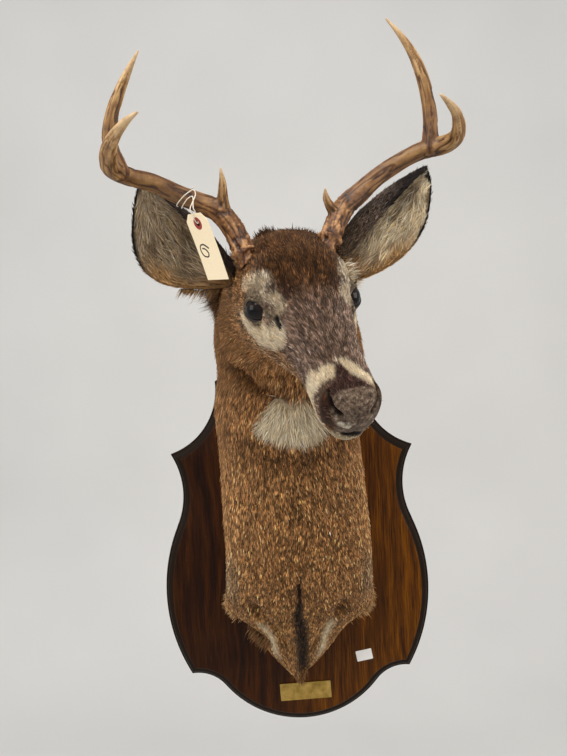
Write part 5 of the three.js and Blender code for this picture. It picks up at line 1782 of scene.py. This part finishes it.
def add_fringes(finish):
    """The locks of FRINGES, as one piece: scattered about each middle by a bell of its spread, and
    strewn about its direction."""
    rng = np.random.default_rng(FRINGE_SEED)
    parts = []
    for centre, spread, count, long, way, lift, shade in FRINGES:
        apart = np.linalg.norm(SKIN["points"] - np.array(centre, float), axis=-1)
        i, j, di, dj = scattered(SKIN, bell(apart, spread), count, rng)
        root = between(SKIN["points"], i, j, di, dj)
        normal = unit(between(SKIN["normals"], i, j, di, dj))
        lie = unit(np.array(way) + 0.28 * rng.normal(size=(count, 3)))
        length = long * np.exp(rng.normal(0, 0.2, count))
        shades = ticked(np.tile(SHADES[shade], (count, 1)), rng, 0.3)
        place = unwrapped(SKIN["stations"], i, j, di, dj)
        parts.append((root, normal, lie, length, length * lift, 1.2 * np.exp(rng.normal(0, 0.2, count)),
                      np.zeros(count), shades, place))
    add_tufts("fur_fringes", finish, "coat", *[np.concatenate(column) for column in zip(*parts)])


def add_coat(finish):
    """All the hair of head, neck and breast, band by band, and the fringes."""
    for seed, (name, first, last, count, long, wide) in enumerate(FUR_BANDS):
        fur_band(name, first, last, count, COAT_SEED + seed, finish, long, wide)
    add_fringes(finish)


def ear_fur(name, shape, count, seed, finish):
    """Fur of an ear. Behind and round the rims it is short and lies towards the tip; inside, long
    pale locks rise from the root and the rims and sweep across the hollow. Hair hangs down from the
    lower edge of the root."""
    rng = np.random.default_rng(seed)
    share = rng.random(count) ** 0.9 * 0.97 + 0.02
    inside = rng.random(count) < 0.50
    t = np.where(inside, rng.uniform(-0.62, 1, count), rng.uniform(-1, 1, count))
    sign = np.where(inside, 1.0, -1.0)
    middle, up_it, over, normal = ear_sheet(shape, share, t)
    normal = normal * sign[:, None]
    root = middle + (EAR_THICK * 0.4 * (1 - t ** 2))[:, None] * normal
    waves = layered_noise(middle, 15.0, 93, 2)
    sweep = 0.9 * ramp(t, 0.1, -0.4) - 0.5 * ramp(t, 0.2, 0.9)
    lean = np.where(inside, sweep + 0.9 * waves, 0.3 * waves)
    lean = lean + 0.18 * rng.normal(size=count)
    lie = unit(up_it + lean[:, None] * over + 0.10 * rng.normal(size=(count, 3)))
    lie = unit(lie - np.einsum("ij,ij->i", lie, normal)[:, None] * normal)
    edge = ramp(np.abs(t), 0.75, 1.0)
    length = np.where(inside, mix(19.0, 9.0, edge) * mix(1.0, 0.5, ramp(share, 0.5, 1.0)), 7.5)
    length = length * np.where(inside, mix(0.4, 1.0, ramp(t, -0.6, -0.25)), 1.0)
    length = length * np.exp(rng.normal(0, 0.2, count)) * ramp(share, 1.08, 0.9)
    below = (np.abs(t) > 0.8) & (root[:, 2] < ear_sheet(shape, share, 0 * t)[0][:, 2])
    hang = shape["hang"] * below * ramp(share, 0.22, 0.13)
    lie = unit(lie + (hang > 0)[:, None] * np.array([-0.5, -0.3, -2.4]))
    length = np.maximum(length, hang * rng.uniform(0.3, 1.0, count))
    lift = length * np.where(inside, rng.uniform(0.08, 0.30, count), 0.16)
    wide = np.where(inside, 1.15, 1.2) * np.exp(rng.normal(0, 0.2, count))
    base = ear_shades(shape, share, t, inside, middle)
    shades = ticked(base, rng, np.where(inside, 0.28, 0.40), pale=np.where(inside, 1.25, 1.9),
                    dusky=np.where(inside, 0.6, 0.5))
    place = np.stack([(t * sign + 1) / 4 + np.where(inside, 0.0, 0.5), share], axis=-1)
    add_tufts(name, finish, "ear_coat", root, normal, lie, length, lift, wide,
              np.zeros(count), shades, place)


def add_lashes(name, side, finish):
    """Eyelashes: thin black spikes that fan forward from the upper lid's edge."""
    rng = np.random.default_rng(LASH_SEED + side)
    centre, (_, along, rise) = eye_axes(side)
    edge, turn = lid_edge(side, 1.08, EYE_RADIUS + 1.2, 150)
    upper = edge[np.sin(turn) > 0.25]
    count = len(upper)
    away = unit(upper - centre)
    fan = unit(0.8 * away + 0.75 * rise + 0.15 * rng.normal(size=(count, 3)))
    normal = unit(np.cross(fan, along))
    length = rng.uniform(4.5, 8.0, count)
    shades = np.tile(colour("120d0b"), (count, 3, 1))
    place = np.stack([np.linspace(0.1, 0.9, count), np.full(count, 0.5)], axis=-1)
    add_tufts(name, finish, "coat", upper, normal, fan, length, 0.12 * length, np.full(count, 0.34),
              np.zeros(count), shades, place)


# ---- Assembly ----

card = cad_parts["tag_card"]
card.material_slots[0].material = paper("manila card", "fff0d0", "f6e2bd", 1.2)
eyelet = add_eyelet(paper("red fibre washer", "a8433a", "8a2f28", 0.8))
numeral = add_numeral(marker_ink())
add_string(cotton())

add_board(walnut())
add_plate("brass_plate", "nameplate", engraved_brass(), "brass_plate", wide=76.5, high=26.0,
          thick=0.8, x=5.8, z=-203.0, tilt=2.2, round_edge=0.3)
add_plate("price_label", "label_sticker", paper("white paper label", "f2f1ee", "e4e2de", 1.0),
          "paper_label", wide=24.0, high=16.0, thick=0.3, x=96.0, z=-152.0, tilt=10.0, round_edge=0.1)

hide_finish = deer_skin()
hair_finish = deer_hair()
add_skin(hide_finish)
for eye_name, eye_side in (("eye_left", 1), ("eye_right", -1)):
    add_eye("glass_" + eye_name, eye_name, eye_side, glass_eye())
    add_lid_rim("lid_rim_" + eye_name[4:], eye_side, lid_skin())
    add_lashes("lashes_" + eye_name[4:], eye_side, hair_finish)
for ear_name, ear_shape in EAR_SHAPES.items():
    add_ear(ear_name, ear_shape, hide_finish)
for antler_name, antler_shape in ANTLERS.items():
    add_antler(antler_name, antler_shape, antler_bone())
add_coat(hair_finish)
for seed, (ear_name, ear_shape) in enumerate(EAR_SHAPES.items()):
    ear_fur(ear_name + "_fur", ear_shape, EAR_LOCKS, EAR_SEED + seed, hair_finish)


# ---- Room ----

# the floor below the mount, the wall behind it, the sweep's radius, and half the floor's side, in mm
FLOOR_BELOW, SWEEP_BACK, SWEEP_RADIUS, FLOOR_HALF = 900.0, 2600.0, 900.0, 6000.0


def add_room(finish):
    """A floor well under the mount that sweeps up into a wall behind it, as one bent sheet."""
    floor = CAD_BOX[0][2] / MM - FLOOR_BELOW
    turn = np.linspace(0, np.pi / 2, 20)
    bend_y = SWEEP_BACK - SWEEP_RADIUS * (1 - np.sin(turn))
    bend_z = floor + SWEEP_RADIUS * (1 - np.cos(turn))
    y = np.concatenate([[-FLOOR_HALF], bend_y, [SWEEP_BACK]])
    z = np.concatenate([[floor], bend_z, [floor + 2 * FLOOR_HALF]])
    x = np.linspace(-FLOOR_HALF, FLOOR_HALF, 3)
    points = np.stack([np.broadcast_to(x, (len(y), 3)), np.broadcast_to(y[:, None], (len(y), 3)),
                       np.broadcast_to(z[:, None], (len(y), 3))], axis=-1)
    mesh = bpy.data.meshes.new("studio_sweep")
    faces = grid_faces(len(y), len(x), closed=False)
    mesh.from_pydata((points.reshape(-1, 3) * MM).tolist(), [], faces.tolist())
    mesh.polygons.foreach_set("use_smooth", np.full(len(mesh.polygons), True))
    mesh.materials.append(finish)
    sweep = bpy.data.objects.new("studio_sweep", mesh)
    bpy.context.scene.collection.objects.link(sweep)


def add_light(name, place, aim, size, watts, code):
    """A square area light that shines from a place towards another, in mm."""
    data = bpy.data.lights.new(name, "AREA")
    data.size = size * MM
    data.energy = watts
    data.color = colour(code)
    lamp = bpy.data.objects.new(name, data)
    way = Vector(np.array(aim, float) - np.array(place, float))
    lamp.rotation_euler = way.to_track_quat("-Z", "Y").to_euler()
    lamp.location = Vector(np.array(place) * MM)
    bpy.context.scene.collection.objects.link(lamp)


add_room(studio_paint())
add_light("ceiling", (-300, -1500, 2300), (0, -200, 150), 1900, 62, "fffaf2")
add_light("left", (-2300, -1300, 900), (0, -200, 200), 1500, 20, "fff6ea")
add_light("right", (2300, -900, 700), (60, -150, 0), 1400, 22, "fff0dc")
world = bpy.data.worlds.new("room")
world.use_nodes = True
world.node_tree.nodes["Background"].inputs["Color"].default_value = (0.95, 0.96, 1.0, 1.0)
world.node_tree.nodes["Background"].inputs["Strength"].default_value = 0.62
bpy.context.scene.world = world
bpy.context.scene.view_settings.view_transform = "Standard"
